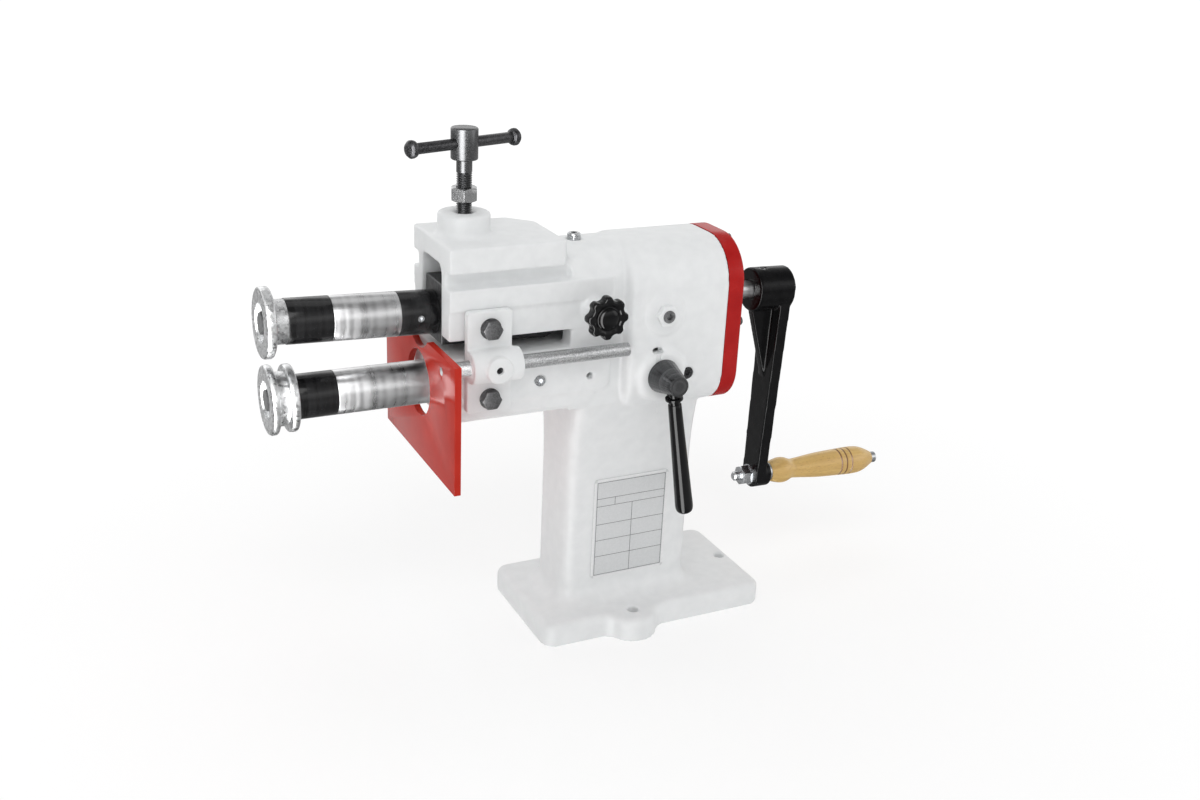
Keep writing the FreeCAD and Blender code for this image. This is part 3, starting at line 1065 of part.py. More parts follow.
keep("tommy_bar_knobs", on_bar(group("tommy_bar_knobs", bar_knob("bar_knob_left", "-1"),
                                     bar_knob("bar_knob_right", "1"))))
press_nut_top = hex_head("press_nut_top", "z", "nut_low", "nut_low + nut_thick", "nut_width", (0, 0))
press_nut_low = cone("press_nut_low", "z", "nut_low", "nut_low + nut_thick", "nut_width / 2 * 0.97",
                     "nut_width / 2 + 1.73 * nut_thick")
press_nut = cut("press_nut", common("press_nut_trim", press_nut_top, press_nut_low),
                bar("press_nut_bore", "z", "nut_low - 1", "nut_low + nut_thick + 1",
                    "thread_radius + running_gap"))
keep("press_lock_nut", place(press_nut, "screw_across", 0, 0, Rotation(Vector(0, 0, 1), value("nut_turn")),
                             "nut_turn"))
thrust_points = [("thrust_low", 0), ("thrust_low + 0.15", "thrust_radius * 0.5"),
                 ("thrust_low + 0.8", "thrust_radius"), ("thrust_high", "thrust_radius"),
                 ("thrust_high", "screw_tip + slip_gap"),
                 ("thrust_high - screw_tip_long", "screw_tip + slip_gap"),
                 ("thrust_high - screw_tip_long", 0)]
keep("thrust_pad", place(turned("thrust_pad", thrust_points), "screw_across", 0, 0, TURNED["z"]))

# Lift springs between the lower arm and the swing arm, as plain sleeves
springs = []
pocket_top = ("pivot_line + (pivot_across - screw_across) * tan(open_tilt * 1 deg)"
              " - arm_block_down + spring_pocket - spring_wire")
for side, sign in (("near", "-1"), ("far", "1")):
    spot = ("screw_across - arm_block_down * sin(open_tilt * 1 deg)", f"({sign}) * spring_out")
    springs.append(cut(f"spring_{side}",
                       bar(f"spring_outer_{side}", "z", "arm_high", pocket_top, "spring_radius", spot),
                       bar(f"spring_inner_{side}", "z", "arm_high - 1", f"{pocket_top} + 1",
                           "spring_radius - spring_wire", spot)))
keep("lift_springs", group("lift_springs", *springs))

# Rod bracket and its bolts
bracket_block = box("bracket_block", ("bracket_front", "bracket_back"), ("-bracket_face", "-pad_half"),
                    ("bracket_low", "bracket_high"))
bracket_plate = rounded("bracket_plate", bracket_block,
                        ("bracket_corner", lambda edge, spot: runs_along(edge, "y")))
rod_boss = bar("rod_boss", "x", "bracket_front", "rod_boss_back", "rod_boss", ("-rod_out", "rod_up"))
boss_trim = box("boss_trim", ("bracket_front - 1", "rod_boss_back + 1"), ("-pad_half", 0),
                ("bracket_low", "bracket_high"))
clamp_at = ("clamp_across", "rod_up")
clamp_boss = bar("clamp_boss", "y", "-clamp_face", "-pad_half", "clamp_boss", clamp_at)
rod_hole = bar("rod_hole", "x", "bracket_front - 1", "rod_boss_back + 1", "rod_radius + running_gap",
               ("-rod_out", "rod_up"))
clamp_hole = bar("clamp_hole", "y", "-clamp_face - 1", "-rod_out", "clamp_hole", clamp_at)
bolt_holes = [bar(f"bracket_hole_{name}", "y", "-bracket_face - 1", "-pad_half + 1", "bolt_radius",
                  ("bolt_across", name)) for name in ("bolt_high", "bolt_low")]
keep("rod_bracket", cut("rod_bracket", join("bracket_blank", bracket_plate, rod_boss, clamp_boss), boss_trim,
                        rod_hole, clamp_hole, *bolt_holes))
keep("rod_clamp_screw", cut("rod_clamp_screw",
     bar("clamp_screw_body", "y", "-clamp_face + clamp_sunk", "-rod_out - rod_radius - slip_gap",
         "clamp_hole", clamp_at),
     hexagon("clamp_screw_socket", "y", "-clamp_face", "-clamp_face + clamp_sunk + plug_socket",
             "clamp_hole * 0.55", clamp_at)))
bolts = []
washers = []
for name in ("bolt_high", "bolt_low"):
    at = ("bolt_across", name)
    washer_face = "-bracket_face - bolt_washer"
    washers.append(cut(f"washer_{name}", bar(f"washer_disc_{name}", "y", washer_face, "-bracket_face",
                                             "bolt_round + 0.4", at),
                       bar(f"washer_bore_{name}", "y", f"{washer_face} - 1", "-bracket_face + 1",
                           "bolt_radius", at)))
    head = hex_head(f"head_{name}", "y", f"{washer_face} - bolt_head", washer_face, "bolt_width", at, False)
    shank = bar(f"shank_{name}", "y", washer_face, "-bracket_face + bolt_long", "bolt_radius", at)
    bolts.append(join(f"bracket_bolt_{name}", head, shank))
keep("bracket_bolts", group("bracket_bolts", *bolts))
keep("bracket_washers", group("bracket_washers", *washers))

# Stop rod and stop plate
rod_line = ("-rod_out", "rod_up")
keep("stop_rod", join("stop_rod", bar("rod_body", "x", "rod_start", "rod_back", "rod_radius", rod_line),
                      bar("rod_tenon", "x", "plate_front", "rod_start", "rod_radius * 0.6", rod_line)))
stop_blank = box("stop_blank", ("plate_front", "rod_start"), ("-stop_half", "stop_half"),
                 ("stop_low", "stop_high"))
lower_window = bar("lower_window", "x", "plate_front - 1", "rod_start + 1", "stop_hole", (0, "lower_line"))
upper_notch = bar("upper_notch", "x", "plate_front - 1", "rod_start + 1", "stop_hole", (0, "notch_up"))
tenon_hole = bar("tenon_hole", "x", "plate_front - 1", "rod_start + 1", "rod_radius * 0.6", rod_line)
keep("stop_plate", cut("stop_plate", stop_blank, lower_window, upper_notch, tenon_hole))

# Every object is checked before anything is written
doc.recompute()
faults = [item.Name for item in doc.Objects if "Invalid" in item.State or "Error" in item.State]
for thing in parts:
    if thing.Shape.isNull() or not thing.Shape.isValid() or not thing.Shape.Solids:
        faults.append(thing.Label)
if faults:
    raise SystemExit("not sound: " + ", ".join(faults))
os.makedirs("parts", exist_ok=True)
for thing in parts:
    thing.Shape.exportStep(f"parts/{thing.Label}.step")
print(len(parts), "sub-parts,", sum(len(thing.Shape.Solids) for thing in parts), "solids")
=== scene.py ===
"""Looks of a hand-cranked bench bead roller, in metres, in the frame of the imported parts."""
import json
import math

import bmesh
import bpy
from mathutils import Matrix, Vector


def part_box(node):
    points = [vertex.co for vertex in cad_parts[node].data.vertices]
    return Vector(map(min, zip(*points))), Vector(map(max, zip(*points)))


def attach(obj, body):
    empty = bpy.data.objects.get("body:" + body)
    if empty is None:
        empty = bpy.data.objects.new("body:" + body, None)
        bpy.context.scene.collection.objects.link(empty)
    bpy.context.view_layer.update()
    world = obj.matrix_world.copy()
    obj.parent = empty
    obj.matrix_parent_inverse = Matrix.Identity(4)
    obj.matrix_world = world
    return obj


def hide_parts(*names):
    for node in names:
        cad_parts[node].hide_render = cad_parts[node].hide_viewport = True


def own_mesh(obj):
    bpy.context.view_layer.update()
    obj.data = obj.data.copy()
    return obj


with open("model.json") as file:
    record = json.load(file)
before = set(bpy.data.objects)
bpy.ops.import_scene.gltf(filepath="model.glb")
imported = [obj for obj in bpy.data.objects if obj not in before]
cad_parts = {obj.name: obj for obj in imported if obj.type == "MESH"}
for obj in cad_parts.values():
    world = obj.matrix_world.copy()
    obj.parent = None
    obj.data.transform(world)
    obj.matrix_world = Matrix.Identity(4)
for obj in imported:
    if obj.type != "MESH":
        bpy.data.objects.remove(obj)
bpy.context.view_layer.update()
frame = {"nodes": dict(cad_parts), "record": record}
MM = 0.001

# Lines and sizes of the machine, in millimetres and degrees
LOWER_LINE = 266.5
PIVOT = (-7.5, 0.0, 325.837)
SHAFT_TILT = 1.76
SCREW_ACROSS = -184.5
LEVER_OUT = 79.0
LEVER_LEAN = 9.7
CRANK_THROW = 206.0

ON_ARM = (Matrix.Translation(Vector(PIVOT) * MM)
          @ Matrix.Rotation(math.radians(SHAFT_TILT), 4, "Y"))
ON_LEVER = (Matrix.Translation(Vector((PIVOT[0], -LEVER_OUT, LOWER_LINE)) * MM)
            @ Matrix.Rotation(math.radians(90 - LEVER_LEAN), 4, "Y"))


# Shader groups
def add(tree, kind, inputs=None, **settings):
    """Adds a node, sets its properties, and fills its inputs with numbers or links."""
    made = tree.nodes.new(kind)
    for key, item in settings.items():
        setattr(made, key, item)
    for key, item in (inputs or {}).items():
        socket = made.inputs[key]
        if isinstance(item, bpy.types.NodeSocket):
            tree.links.new(item, socket)
        else:
            socket.default_value = item
    return made


def reckon(tree, operation, first, second=0.0):
    """One step of arithmetic, as a socket."""
    return add(tree, "ShaderNodeMath", {0: first, 1: second}, operation=operation).outputs[0]


def weighed(tree, first, share, second, other_share):
    """Two numbers added, each times its share, as a socket."""
    return reckon(tree, "ADD", reckon(tree, "MULTIPLY", first, share),
                  reckon(tree, "MULTIPLY", second, other_share))


def remap(tree, number, low, high, start=0.0, end=1.0, **settings):
    """A number carried from the range low to high into start to end, as a socket."""
    return add(tree, "ShaderNodeMapRange", {"Value": number, "From Min": low, "From Max": high,
                                            "To Min": start, "To Max": end}, **settings).outputs["Result"]


def noise(tree, place, scale, detail, **more):
    """A noise texture's value, as a socket."""
    return add(tree, "ShaderNodeTexNoise",
               {"Vector": place, "Scale": scale, "Detail": detail, **more}).outputs["Fac"]


def colour_mix(tree, share, first, second):
    """A colour between two, each given as numbers or a socket, as a socket."""
    first_colour, second_colour, result = 6, 7, 2
    return add(tree, "ShaderNodeMix", {"Factor": share, first_colour: first, second_colour: second},
               data_type="RGBA").outputs[result]


def number_mix(tree, share, first, second):
    """A number between two, as a socket."""
    first_number, second_number = 2, 3
    return add(tree, "ShaderNodeMix", {"Factor": share, first_number: first, second_number: second},
               data_type="FLOAT").outputs[0]


def shader_group(name, inputs, outputs):
    """An empty shader group with number inputs, a Vector input, and number outputs."""
    tree = bpy.data.node_groups.new(name, "ShaderNodeTree")
    tree.interface.new_socket(name="Vector", in_out="INPUT", socket_type="NodeSocketVector")
    for label, default in inputs.items():
        socket = tree.interface.new_socket(name=label, in_out="INPUT", socket_type="NodeSocketFloat")
        socket.default_value = default
    for label in outputs:
        tree.interface.new_socket(name=label, in_out="OUTPUT", socket_type="NodeSocketFloat")
    return tree, tree.nodes.new("NodeGroupInput").outputs, tree.nodes.new("NodeGroupOutput").inputs


def sand_cast_group():
    """Painted sand casting: fine grain, soft lumps and a few pits."""
    tree, given, out = shader_group("sand_cast", {"Grain": 900.0, "Lumps": 70.0, "Pits": 0.3},
                                    ("Height", "Tone"))
    grain = noise(tree, given["Vector"], given["Grain"], 3.0)
    lumps = noise(tree, given["Vector"], given["Lumps"], 2.0)
    pits = remap(tree, noise(tree, given["Vector"], 260.0, 1.0), 0.66, 0.78)
    tree.links.new(reckon(tree, "SUBTRACT", weighed(tree, grain, 0.22, lumps, 1.0),
                          reckon(tree, "MULTIPLY", pits, given["Pits"])), out["Height"])
    tree.links.new(lumps, out["Tone"])
    return tree


def turned_group():
    """Lathe marks: fine rings round the X axis on barrels, and round the centre on end faces."""
    tree, given, out = shader_group("lathe_marks", {"Rings": 1500.0}, ("Height", "Tone"))
    parts = add(tree, "ShaderNodeSeparateXYZ", {"Vector": given["Vector"]}).outputs
    radius = reckon(tree, "SQRT", weighed(tree, parts["Y"], parts["Y"], parts["Z"], parts["Z"]))
    along = reckon(tree, "MULTIPLY", reckon(tree, "ADD", parts["X"], radius), given["Rings"])
    fine, broad = (add(tree, "ShaderNodeTexNoise", {"W": along, "Scale": scale, "Detail": detail},
                       noise_dimensions="1D").outputs["Fac"] for scale, detail in ((1.0, 3.0), (0.09, 1.0)))
    stain = noise(tree, given["Vector"], 45.0, 3.0)
    tree.links.new(fine, out["Height"])
    tree.links.new(weighed(tree, broad, 0.7, stain, 0.3), out["Tone"])
    return tree


def spangle_group():
    """Zinc plate over a rough skin: small crystals and a grainy surface."""
    tree, given, out = shader_group("zinc_spangle", {"Crystals": 420.0}, ("Height", "Tone"))
    cells = add(tree, "ShaderNodeTexVoronoi", {"Vector": given["Vector"], "Scale": given["Crystals"]})
    shade = add(tree, "ShaderNodeSeparateColor", {"Color": cells.outputs["Color"]}).outputs["Red"]
    rough = noise(tree, given["Vector"], 700.0, 4.0, Roughness=0.65)
    broad = noise(tree, given["Vector"], 90.0, 3.0)
    tree.links.new(weighed(tree, rough, 1.0, broad, 0.8), out["Height"])
    tree.links.new(weighed(tree, shade, 0.45, rough, 0.55), out["Tone"])
    return tree


def beech_group():
    """Beech along the X axis: soft growth bands, short dark flecks and dark rings at the three grooves."""
    tree, given, out = shader_group("beech_grain", {"Bands": 260.0, "First Ring": 0.0, "Ring Step": 0.01},
                                    ("Height", "Tone", "Dark"))
    slim, short = (add(tree, "ShaderNodeMapping", {"Vector": given["Vector"],
                                                   "Scale": (squeeze, 1.0, 1.0)}).outputs[0]
                   for squeeze in (0.05, 0.16))
    drift = noise(tree, slim, 60.0, 3.0)
    bands = noise(tree, slim, given["Bands"], 3.0, Distortion=0.6)
    flecks = remap(tree, noise(tree, short, 1500.0, 1.0), 0.6, 0.7)
    tree.links.new(weighed(tree, bands, 1.0, flecks, -0.5), out["Height"])
    tree.links.new(weighed(tree, drift, 0.5, bands, 0.5), out["Tone"])

    last_ring = 2.0
    along = add(tree, "ShaderNodeSeparateXYZ", {"Vector": given["Vector"]}).outputs["X"]
    steps = reckon(tree, "DIVIDE", reckon(tree, "SUBTRACT", along, given["First Ring"]), given["Ring Step"])
    nearest = add(tree, "ShaderNodeClamp", {"Value": reckon(tree, "ROUND", steps),
                                            "Max": last_ring}).outputs[0]
    away = reckon(tree, "MULTIPLY", reckon(tree, "ABSOLUTE", reckon(tree, "SUBTRACT", steps, nearest)),
                  given["Ring Step"])
    # a dark band, about two millimetres wide, round each of the three grooves
    rings = remap(tree, away, 0.0005, 0.0011, 1.0, 0.0)
    tree.links.new(reckon(tree, "MAXIMUM", rings, reckon(tree, "MULTIPLY", flecks, 0.35)), out["Dark"])
    return tree


SAND_CAST = sand_cast_group()
LATHE_MARKS = turned_group()
SPANGLE = spangle_group()
BEECH = beech_group()


# Materials
def finish(name, group, settings, base, roughness, relief, tone_range=(0.3, 0.7), origin=(0, 0, 0),
           turn=(0, 0, 0), **sockets):
    """A Principled material whose colour, roughness and relief vary with a group's Tone and Height.

    base is a pair of colours and roughness a pair of numbers, at the ends of tone_range.
    relief is the bump's depth in metres. sockets are constants of the shader, by name."""
    material = bpy.data.materials.new(name)
    material.use_nodes = True
    tree = material.node_tree
    tree.nodes.clear()
    place = add(tree, "ShaderNodeTexCoord").outputs["Object"]
    if origin != (0, 0, 0) or turn != (0, 0, 0):
        place = add(tree, "ShaderNodeMapping", {"Vector": place, "Location": origin, "Rotation": turn},
                    vector_type="TEXTURE").outputs[0]
    effect = add(tree, "ShaderNodeGroup", node_tree=group)
    tree.links.new(place, effect.inputs["Vector"])
    for label, number in settings.items():
        effect.inputs[label].default_value = number
    share = remap(tree, effect.outputs["Tone"], *tone_range)
    colour = colour_mix(tree, share, *((*shade, 1) for shade in base))
    bump = add(tree, "ShaderNodeBump", {"Strength": 1.0, "Distance": relief,
                                        "Height": effect.outputs["Height"]})
    shader = add(tree, "ShaderNodeBsdfPrincipled", {"Base Color": colour,
                                                    "Roughness": remap(tree, share, 0.0, 1.0, *roughness),
                                                    "Normal": bump.outputs["Normal"]})
    for label, number in sockets.items():
        shader.inputs[label.replace("_", " ")].default_value = number
    tree.links.new(shader.outputs[0], add(tree, "ShaderNodeOutputMaterial").inputs["Surface"])
    return material


ARM_TURN = {"origin": tuple(Vector(PIVOT) * MM), "turn": (0, math.radians(SHAFT_TILT), 0)}
LOWER_TURN = {"origin": (0, 0, LOWER_LINE * MM)}
LEVER_TURN = {"origin": (PIVOT[0] * MM, 0, LOWER_LINE * MM), "turn": (0, 0, math.radians(90))}

white_enamel = finish("white_enamel", SAND_CAST, {"Grain": 620.0, "Lumps": 85.0, "Pits": 0.35},
                      ((0.745, 0.757, 0.762), (0.785, 0.796, 0.80)), (0.48, 0.56), 0.00022,
                      Specular_IOR_Level=0.25, Coat_Weight=0.04, Coat_Roughness=0.3)
red_enamel = finish("red_enamel", SAND_CAST, {"Grain": 500.0, "Lumps": 60.0, "Pits": 0.1},
                    ((0.36, 0.009, 0.009), (0.42, 0.013, 0.012)), (0.20, 0.28), 0.00008,
                    Specular_IOR_Level=0.12, Coat_Weight=0.06, Coat_Roughness=0.08)
red_gloss = finish("red_gloss", SAND_CAST, {"Grain": 500.0, "Lumps": 40.0, "Pits": 0.0},
                   ((0.45, 0.024, 0.014), (0.50, 0.032, 0.019)), (0.12, 0.18), 0.00003,
                   Specular_IOR_Level=0.08, Coat_Weight=0.1, Coat_Roughness=0.04)
black_enamel = finish("black_enamel", SAND_CAST, {"Grain": 420.0, "Lumps": 130.0, "Pits": 0.6},
                      ((0.003, 0.003, 0.0034), (0.006, 0.006, 0.0065)), (0.14, 0.24), 0.00022,
                      Specular_IOR_Level=0.08, Coat_Weight=0.08, Coat_Roughness=0.06)
dull_casting = finish("dull_casting", SAND_CAST, {"Grain": 700.0, "Lumps": 150.0, "Pits": 0.5},
                      ((0.008, 0.008, 0.009), (0.016, 0.016, 0.017)), (0.36, 0.5), 0.0004)
phenolic = finish("phenolic", SAND_CAST, {"Grain": 380.0, "Lumps": 45.0, "Pits": 0.0},
                  ((0.003, 0.003, 0.0034), (0.005, 0.005, 0.0055)), (0.08, 0.13), 0.00004,
                  Specular_IOR_Level=0.15, Coat_Weight=0.15, Coat_Roughness=0.05)


def lathed(name, base, roughness, **more):
    """Turned steel or bronze."""
    return finish(name, LATHE_MARKS, {"Rings": 1600.0}, base, roughness, 0.000012, tone_range=(0.35, 0.65),
                  **more)


def plated(name, crystals, base, roughness, relief, **more):
    """Metal with a crystalline or grainy skin."""
    return finish(name, SPANGLE, {"Crystals": crystals}, base, roughness, relief, **more)


BRIGHT = ((0.50, 0.50, 0.505), (0.60, 0.60, 0.605))
BLACKED = ((0.006, 0.006, 0.0065), (0.016, 0.016, 0.017))
STEEL_GREY = ((0.16, 0.162, 0.165), (0.24, 0.242, 0.246))
DARK_STEEL = ((0.035, 0.035, 0.037), (0.07, 0.07, 0.073))
bright_upper = lathed("bright_steel_upper", BRIGHT, (0.26, 0.36), Metallic=1.0, **ARM_TURN)
bright_lower = lathed("bright_steel_lower", BRIGHT, (0.26, 0.36), Metallic=1.0, **LOWER_TURN)
black_upper = lathed("blacked_steel_upper", BLACKED, (0.16, 0.26), Specular_IOR_Level=0.3, Coat_Weight=0.1,
                     **ARM_TURN)
black_lower = lathed("blacked_steel_lower", BLACKED, (0.16, 0.26), Specular_IOR_Level=0.3, Coat_Weight=0.1,
                     **LOWER_TURN)
hub_steel = lathed("hub_steel", ((0.06, 0.061, 0.063), (0.11, 0.111, 0.114)), (0.2, 0.3), Metallic=0.9,
                   **LEVER_TURN)
screw_steel = plated("screw_steel", 1200.0, ((0.09, 0.091, 0.093), (0.12, 0.121, 0.124)), (0.26, 0.34),
                     0.00001, Metallic=0.9)
nut_steel = plated("nut_steel", 1200.0, ((0.31, 0.312, 0.315), (0.37, 0.372, 0.376)), (0.2, 0.28), 0.00001,
                   Metallic=0.95)
dark_steel = plated("dark_steel", 900.0, DARK_STEEL, (0.26, 0.42), 0.00004, Metallic=0.8)
grey_steel = plated("grey_steel", 900.0, STEEL_GREY, (0.32, 0.5), 0.00004, Metallic=0.9)
dark_bolt = plated("dark_bolt", 800.0, ((0.06, 0.06, 0.062), (0.11, 0.11, 0.112)), (0.42, 0.6), 0.00005,
                   Metallic=0.6)
zinc = plated("zinc", 1300.0, ((0.36, 0.37, 0.38), (0.52, 0.53, 0.54)), (0.24, 0.36), 0.00003, Metallic=1.0)
rod_zinc = plated("rod_zinc", 1100.0, ((0.28, 0.284, 0.29), (0.62, 0.625, 0.63)), (0.34, 0.5), 0.00006,
                  tone_range=(0.2, 0.8), Metallic=0.9)
rough_zinc = plated("rough_zinc", 360.0, ((0.48, 0.485, 0.49), (0.76, 0.765, 0.77)), (0.26, 0.44), 0.00022,
                    Metallic=1.0)
bronze = lathed("bronze", ((0.42, 0.25, 0.09), (0.55, 0.34, 0.14)), (0.26, 0.4), Metallic=1.0, **LOWER_TURN)
plate_alloy = plated("plate_alloy", 700.0, ((0.60, 0.612, 0.618), (0.635, 0.646, 0.652)), (0.36, 0.42),
                     0.00001)
plate_border = plated("plate_border", 700.0, ((0.74, 0.745, 0.75), (0.78, 0.785, 0.79)), (0.34, 0.4), 0.00001)
plate_ink = finish("plate_ink", SAND_CAST, {"Grain": 900.0, "Lumps": 200.0, "Pits": 0.0},
                   ((0.05, 0.055, 0.06), (0.08, 0.085, 0.09)), (0.4, 0.5), 0.00001)


GRIP_START = 177.8
GRIP_LENGTH = 133.0
GRIP_GROOVES = (0.66, 0.71, 0.76)


def wood_finish():
    """Varnished beech, with its grain along the grip and its grooves darker."""
    rings = {"First Ring": (GRIP_START + GRIP_GROOVES[0] * GRIP_LENGTH) * MM,
             "Ring Step": (GRIP_GROOVES[1] - GRIP_GROOVES[0]) * GRIP_LENGTH * MM}
    material = finish("varnished_beech", BEECH, {"Bands": 300.0, **rings},
                      ((0.52, 0.31, 0.09), (0.66, 0.45, 0.155)), (0.30, 0.40), 0.00004,
                      Coat_Weight=0.25, Coat_Roughness=0.15, **ARM_TURN)
    tree = material.node_tree
    shader = next(item for item in tree.nodes if item.type == "BSDF_PRINCIPLED")
    plain = shader.inputs["Base Color"].links[0].from_socket
    dark = next(item for item in tree.nodes if item.type == "GROUP").outputs["Dark"]
    # the dark colour laid over each groove's band
    groove_dark = (0.16, 0.065, 0.02, 1)
    tree.links.new(colour_mix(tree, dark, plain, groove_dark), shader.inputs["Base Color"])
    return material


varnished_beech = wood_finish()


# Making pieces
def linked(name, data):
    """A new object in the scene."""
    made = bpy.data.objects.new(name, data)
    bpy.context.scene.collection.objects.link(made)
    return made


def put(name, mesh, material, body, slot, *nodes, smooth=40):
    """Shows a finished mesh as a piece that rides on a body, in place of CAD nodes."""
    piece = linked(name, mesh)
    mesh.materials.clear()
    mesh.materials.append(material)
    mesh.polygons.foreach_set("material_index", [0] * len(mesh.polygons))
    mesh.shade_smooth()
    if smooth:
        mesh.set_sharp_from_angle(angle=math.radians(smooth))
    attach(piece, body)
    if nodes:
        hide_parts(*nodes)
    return piece


def cad_copy(node):
    """A closed mesh of a CAD node, its flat faces made whole again."""
    mesh = frame["nodes"][node].data.copy()
    mesh.name = node + "_shape"
    if mesh.has_custom_normals:
        mesh.attributes.remove(mesh.attributes["custom_normal"])
    shape = bmesh.new()
    shape.from_mesh(mesh)
    bmesh.ops.remove_doubles(shape, verts=shape.verts, dist=0.00001)
    bmesh.ops.dissolve_limit(shape, angle_limit=math.radians(0.3), verts=shape.verts, edges=shape.edges)
    bmesh.ops.recalc_face_normals(shape, faces=shape.faces)
    shape.to_mesh(mesh)
    shape.free()
    return mesh


def evaluated(mesh, *steps):
    """The mesh after a stack of modifiers, each a (kind, settings) pair."""
    holder = linked("holder", mesh)
    for kind, settings in steps:
        modifier = holder.modifiers.new(kind.lower(), kind)
        for key, item in settings.items():
            setattr(modifier, key, item)
    graph = bpy.context.evaluated_depsgraph_get()
    result = bpy.data.meshes.new_from_object(holder.evaluated_get(graph))
    bpy.data.objects.remove(holder)
    return result


def cut_away(mesh, tool_mesh):
    """A closed mesh with the room of another cut out of it."""
    tool = linked("tool", tool_mesh)
    result = evaluated(mesh, ("BOOLEAN", {"object": tool, "operation": "DIFFERENCE", "solver": "EXACT"}))
    bpy.data.objects.remove(tool)
    return result


SHARP_ANGLE = 38


def cast_copy(node, voxel, passes, triangles):
    """A CAD node with the soft edges and small fillets of a sand casting."""
    mesh = evaluated(cad_copy(node),
                     ("REMESH", {"mode": "VOXEL", "voxel_size": voxel * MM}),
                     ("SMOOTH", {"factor": 0.5, "iterations": passes}))
    count = sum(len(face.vertices) - 2 for face in mesh.polygons)
    if count > triangles:
        mesh = evaluated(mesh, ("DECIMATE", {"ratio": triangles / count}))
    mesh.name = node + "_cast"
    return mesh


def edged_copy(node, width, segments=2):
    """A CAD node with its sharp edges broken."""
    mesh = evaluated(cad_copy(node),
                     ("BEVEL", {"width": width * MM, "segments": segments, "limit_method": "ANGLE",
                                "angle_limit": math.radians(SHARP_ANGLE), "miter_outer": "MITER_ARC",
                                "use_clamp_overlap": True}))
    mesh.name = node + "_edged"
    return mesh


def ringed_mesh(name, rings, matrix=Matrix.Identity(4)):
    """A closed mesh through rings of points in metres, where a ring of one point is a pole.

    Two open ends are joined to each other, and an open start alone gets a face."""
    shape = bmesh.new()
    made = [[shape.verts.new(point) for point in ring] for ring in rings]
    for low, high in zip(made, made[1:]):
        bridge(shape, low, high)
    if len(made[0]) > 1 and len(made[-1]) > 1:
        bridge(shape, made[-1], made[0])
    elif len(made[0]) > 1:
        shape.faces.new(made[0])
    bmesh.ops.recalc_face_normals(shape, faces=shape.faces)
    bmesh.ops.transform(shape, matrix=matrix, verts=shape.verts)
    mesh = bpy.data.meshes.new(name)
    shape.to_mesh(mesh)
    shape.free()
    return mesh


def turned_mesh(name, profile, matrix, around=96):
    """A closed mesh turned about local X from (along, radius) pairs in millimetres; radius 0 is a pole."""
    rings = [[(along * MM, radius * MM * math.cos(step * math.tau / around),
               radius * MM * math.sin(step * math.tau / around)) for step in range(around if radius else 1)]
             for along, radius in profile]
    return ringed_mesh(name, rings, matrix)


def bridge(shape, low, high):
    """Faces between two rings of vertices, either of which may be a pole."""
    count = max(len(low), len(high))
    for step in range(count):
        after = (step + 1) % count
        corners = [low[step % len(low)], low[after % len(low)],
                   high[after % len(high)], high[step % len(high)]]
        shape.faces.new(list(dict.fromkeys(corners)))


def eased(points, steps=8):
    """A smooth run through (along, radius) points, by Catmull and Rom's spline."""
    run = []
    padded = [points[0], *points, points[-1]]
    for before, start, end, after in zip(padded, padded[1:], padded[2:], padded[3:]):
        for step in range(steps):
            t = step / steps
            run.append(tuple(0.5 * (2 * b + (c - a) * t + (2 * a - 5 * b + 4 * c - d) * t * t
                                    + (3 * b - a - 3 * c + d) * t ** 3)
                             for a, b, c, d in zip(before, start, end, after)))
    return run + [points[-1]]


# Castings and painted plates
put("casting", cast_copy("frame_casting", 1.7, 4, 190000), white_enamel,
    "frame", "cast_white", "frame_casting", smooth=0)
put("bracket_casting", cast_copy("rod_bracket", 0.9, 4, 50000), white_enamel,
    "frame", "cast_white", "rod_bracket", smooth=0)
put("swing_arm_casting", cast_copy("swing_arm", 1.3, 4, 60000), dull_casting,
    "swing_arm", "black_cast", "swing_arm", smooth=0)
put("crank_casting", cast_copy("crank_arm", 1.0, 4, 60000), black_enamel,
    "upper_shaft", "black_cast", "crank_arm", smooth=0)
put("cover_painted", edged_copy("rear_cover", 0.7, 3), red_enamel, "frame", "red_paint", "rear_cover")
stop_piece = put("stop_plate_painted", edged_copy("stop_plate", 0.9, 3), red_gloss, "stop_plate", "red_paint",
                 "stop_plate")
stop_piece.visible_glossy = False


# Star knob
KNOB_ACROSS, KNOB_HIGH = -78, 336
KNOB_RADIUS, LOBES, LOBE_DEPTH, LOBE_SHARPNESS = 18.5, 8, 1.6, 1.6


def star_knob_mesh():
    """The moulded eight-lobed knob, with a dished face round a domed cap.

    Each ring is (out, size, lobed), where the size of a lobed ring is a share of the knob's outline."""
    around = 160
    profile = [(62.3, 7.5, 0), (62.3, 9.8, 0), (62.8, 10.2, 0), (69.6, 10.2, 0), (70.3, 11.0, 0),
               (70.5, 0.80, 1), (70.8, 0.93, 1), (71.5, 0.985, 1), (72.6, 1.0, 1), (76.0, 1.01, 1),
               (79.4, 1.0, 1), (80.6, 0.98, 1), (81.4, 0.93, 1), (81.7, 0.86, 1), (81.4, 0.75, 1),
               (80.8, 12.4, 0), (80.3, 11.2, 0), (80.4, 10.4, 0), (81.3, 9.9, 0), (82.6, 9.1, 0),
               (83.5, 7.6, 0), (84.2, 5.2, 0), (84.6, 2.6, 0), (84.7, 0, 0)]
    rings = []
    for out, size, lobed in profile:
        ring = []
        for step in range(around if size else 1):
            angle = step * math.tau / around
            wave = math.tanh(LOBE_SHARPNESS * math.cos(LOBES * angle)) / math.tanh(LOBE_SHARPNESS)
            radius = size * (KNOB_RADIUS + LOBE_DEPTH * wave) if lobed else size
            ring.append(((KNOB_ACROSS + radius * math.cos(angle)) * MM, -out * MM,
                         (KNOB_HIGH + radius * math.sin(angle)) * MM))
        rings.append(ring)
    return evaluated(ringed_mesh("star_knob_moulded", rings), ("SUBSURF", {"levels": 1, "render_levels": 1}))


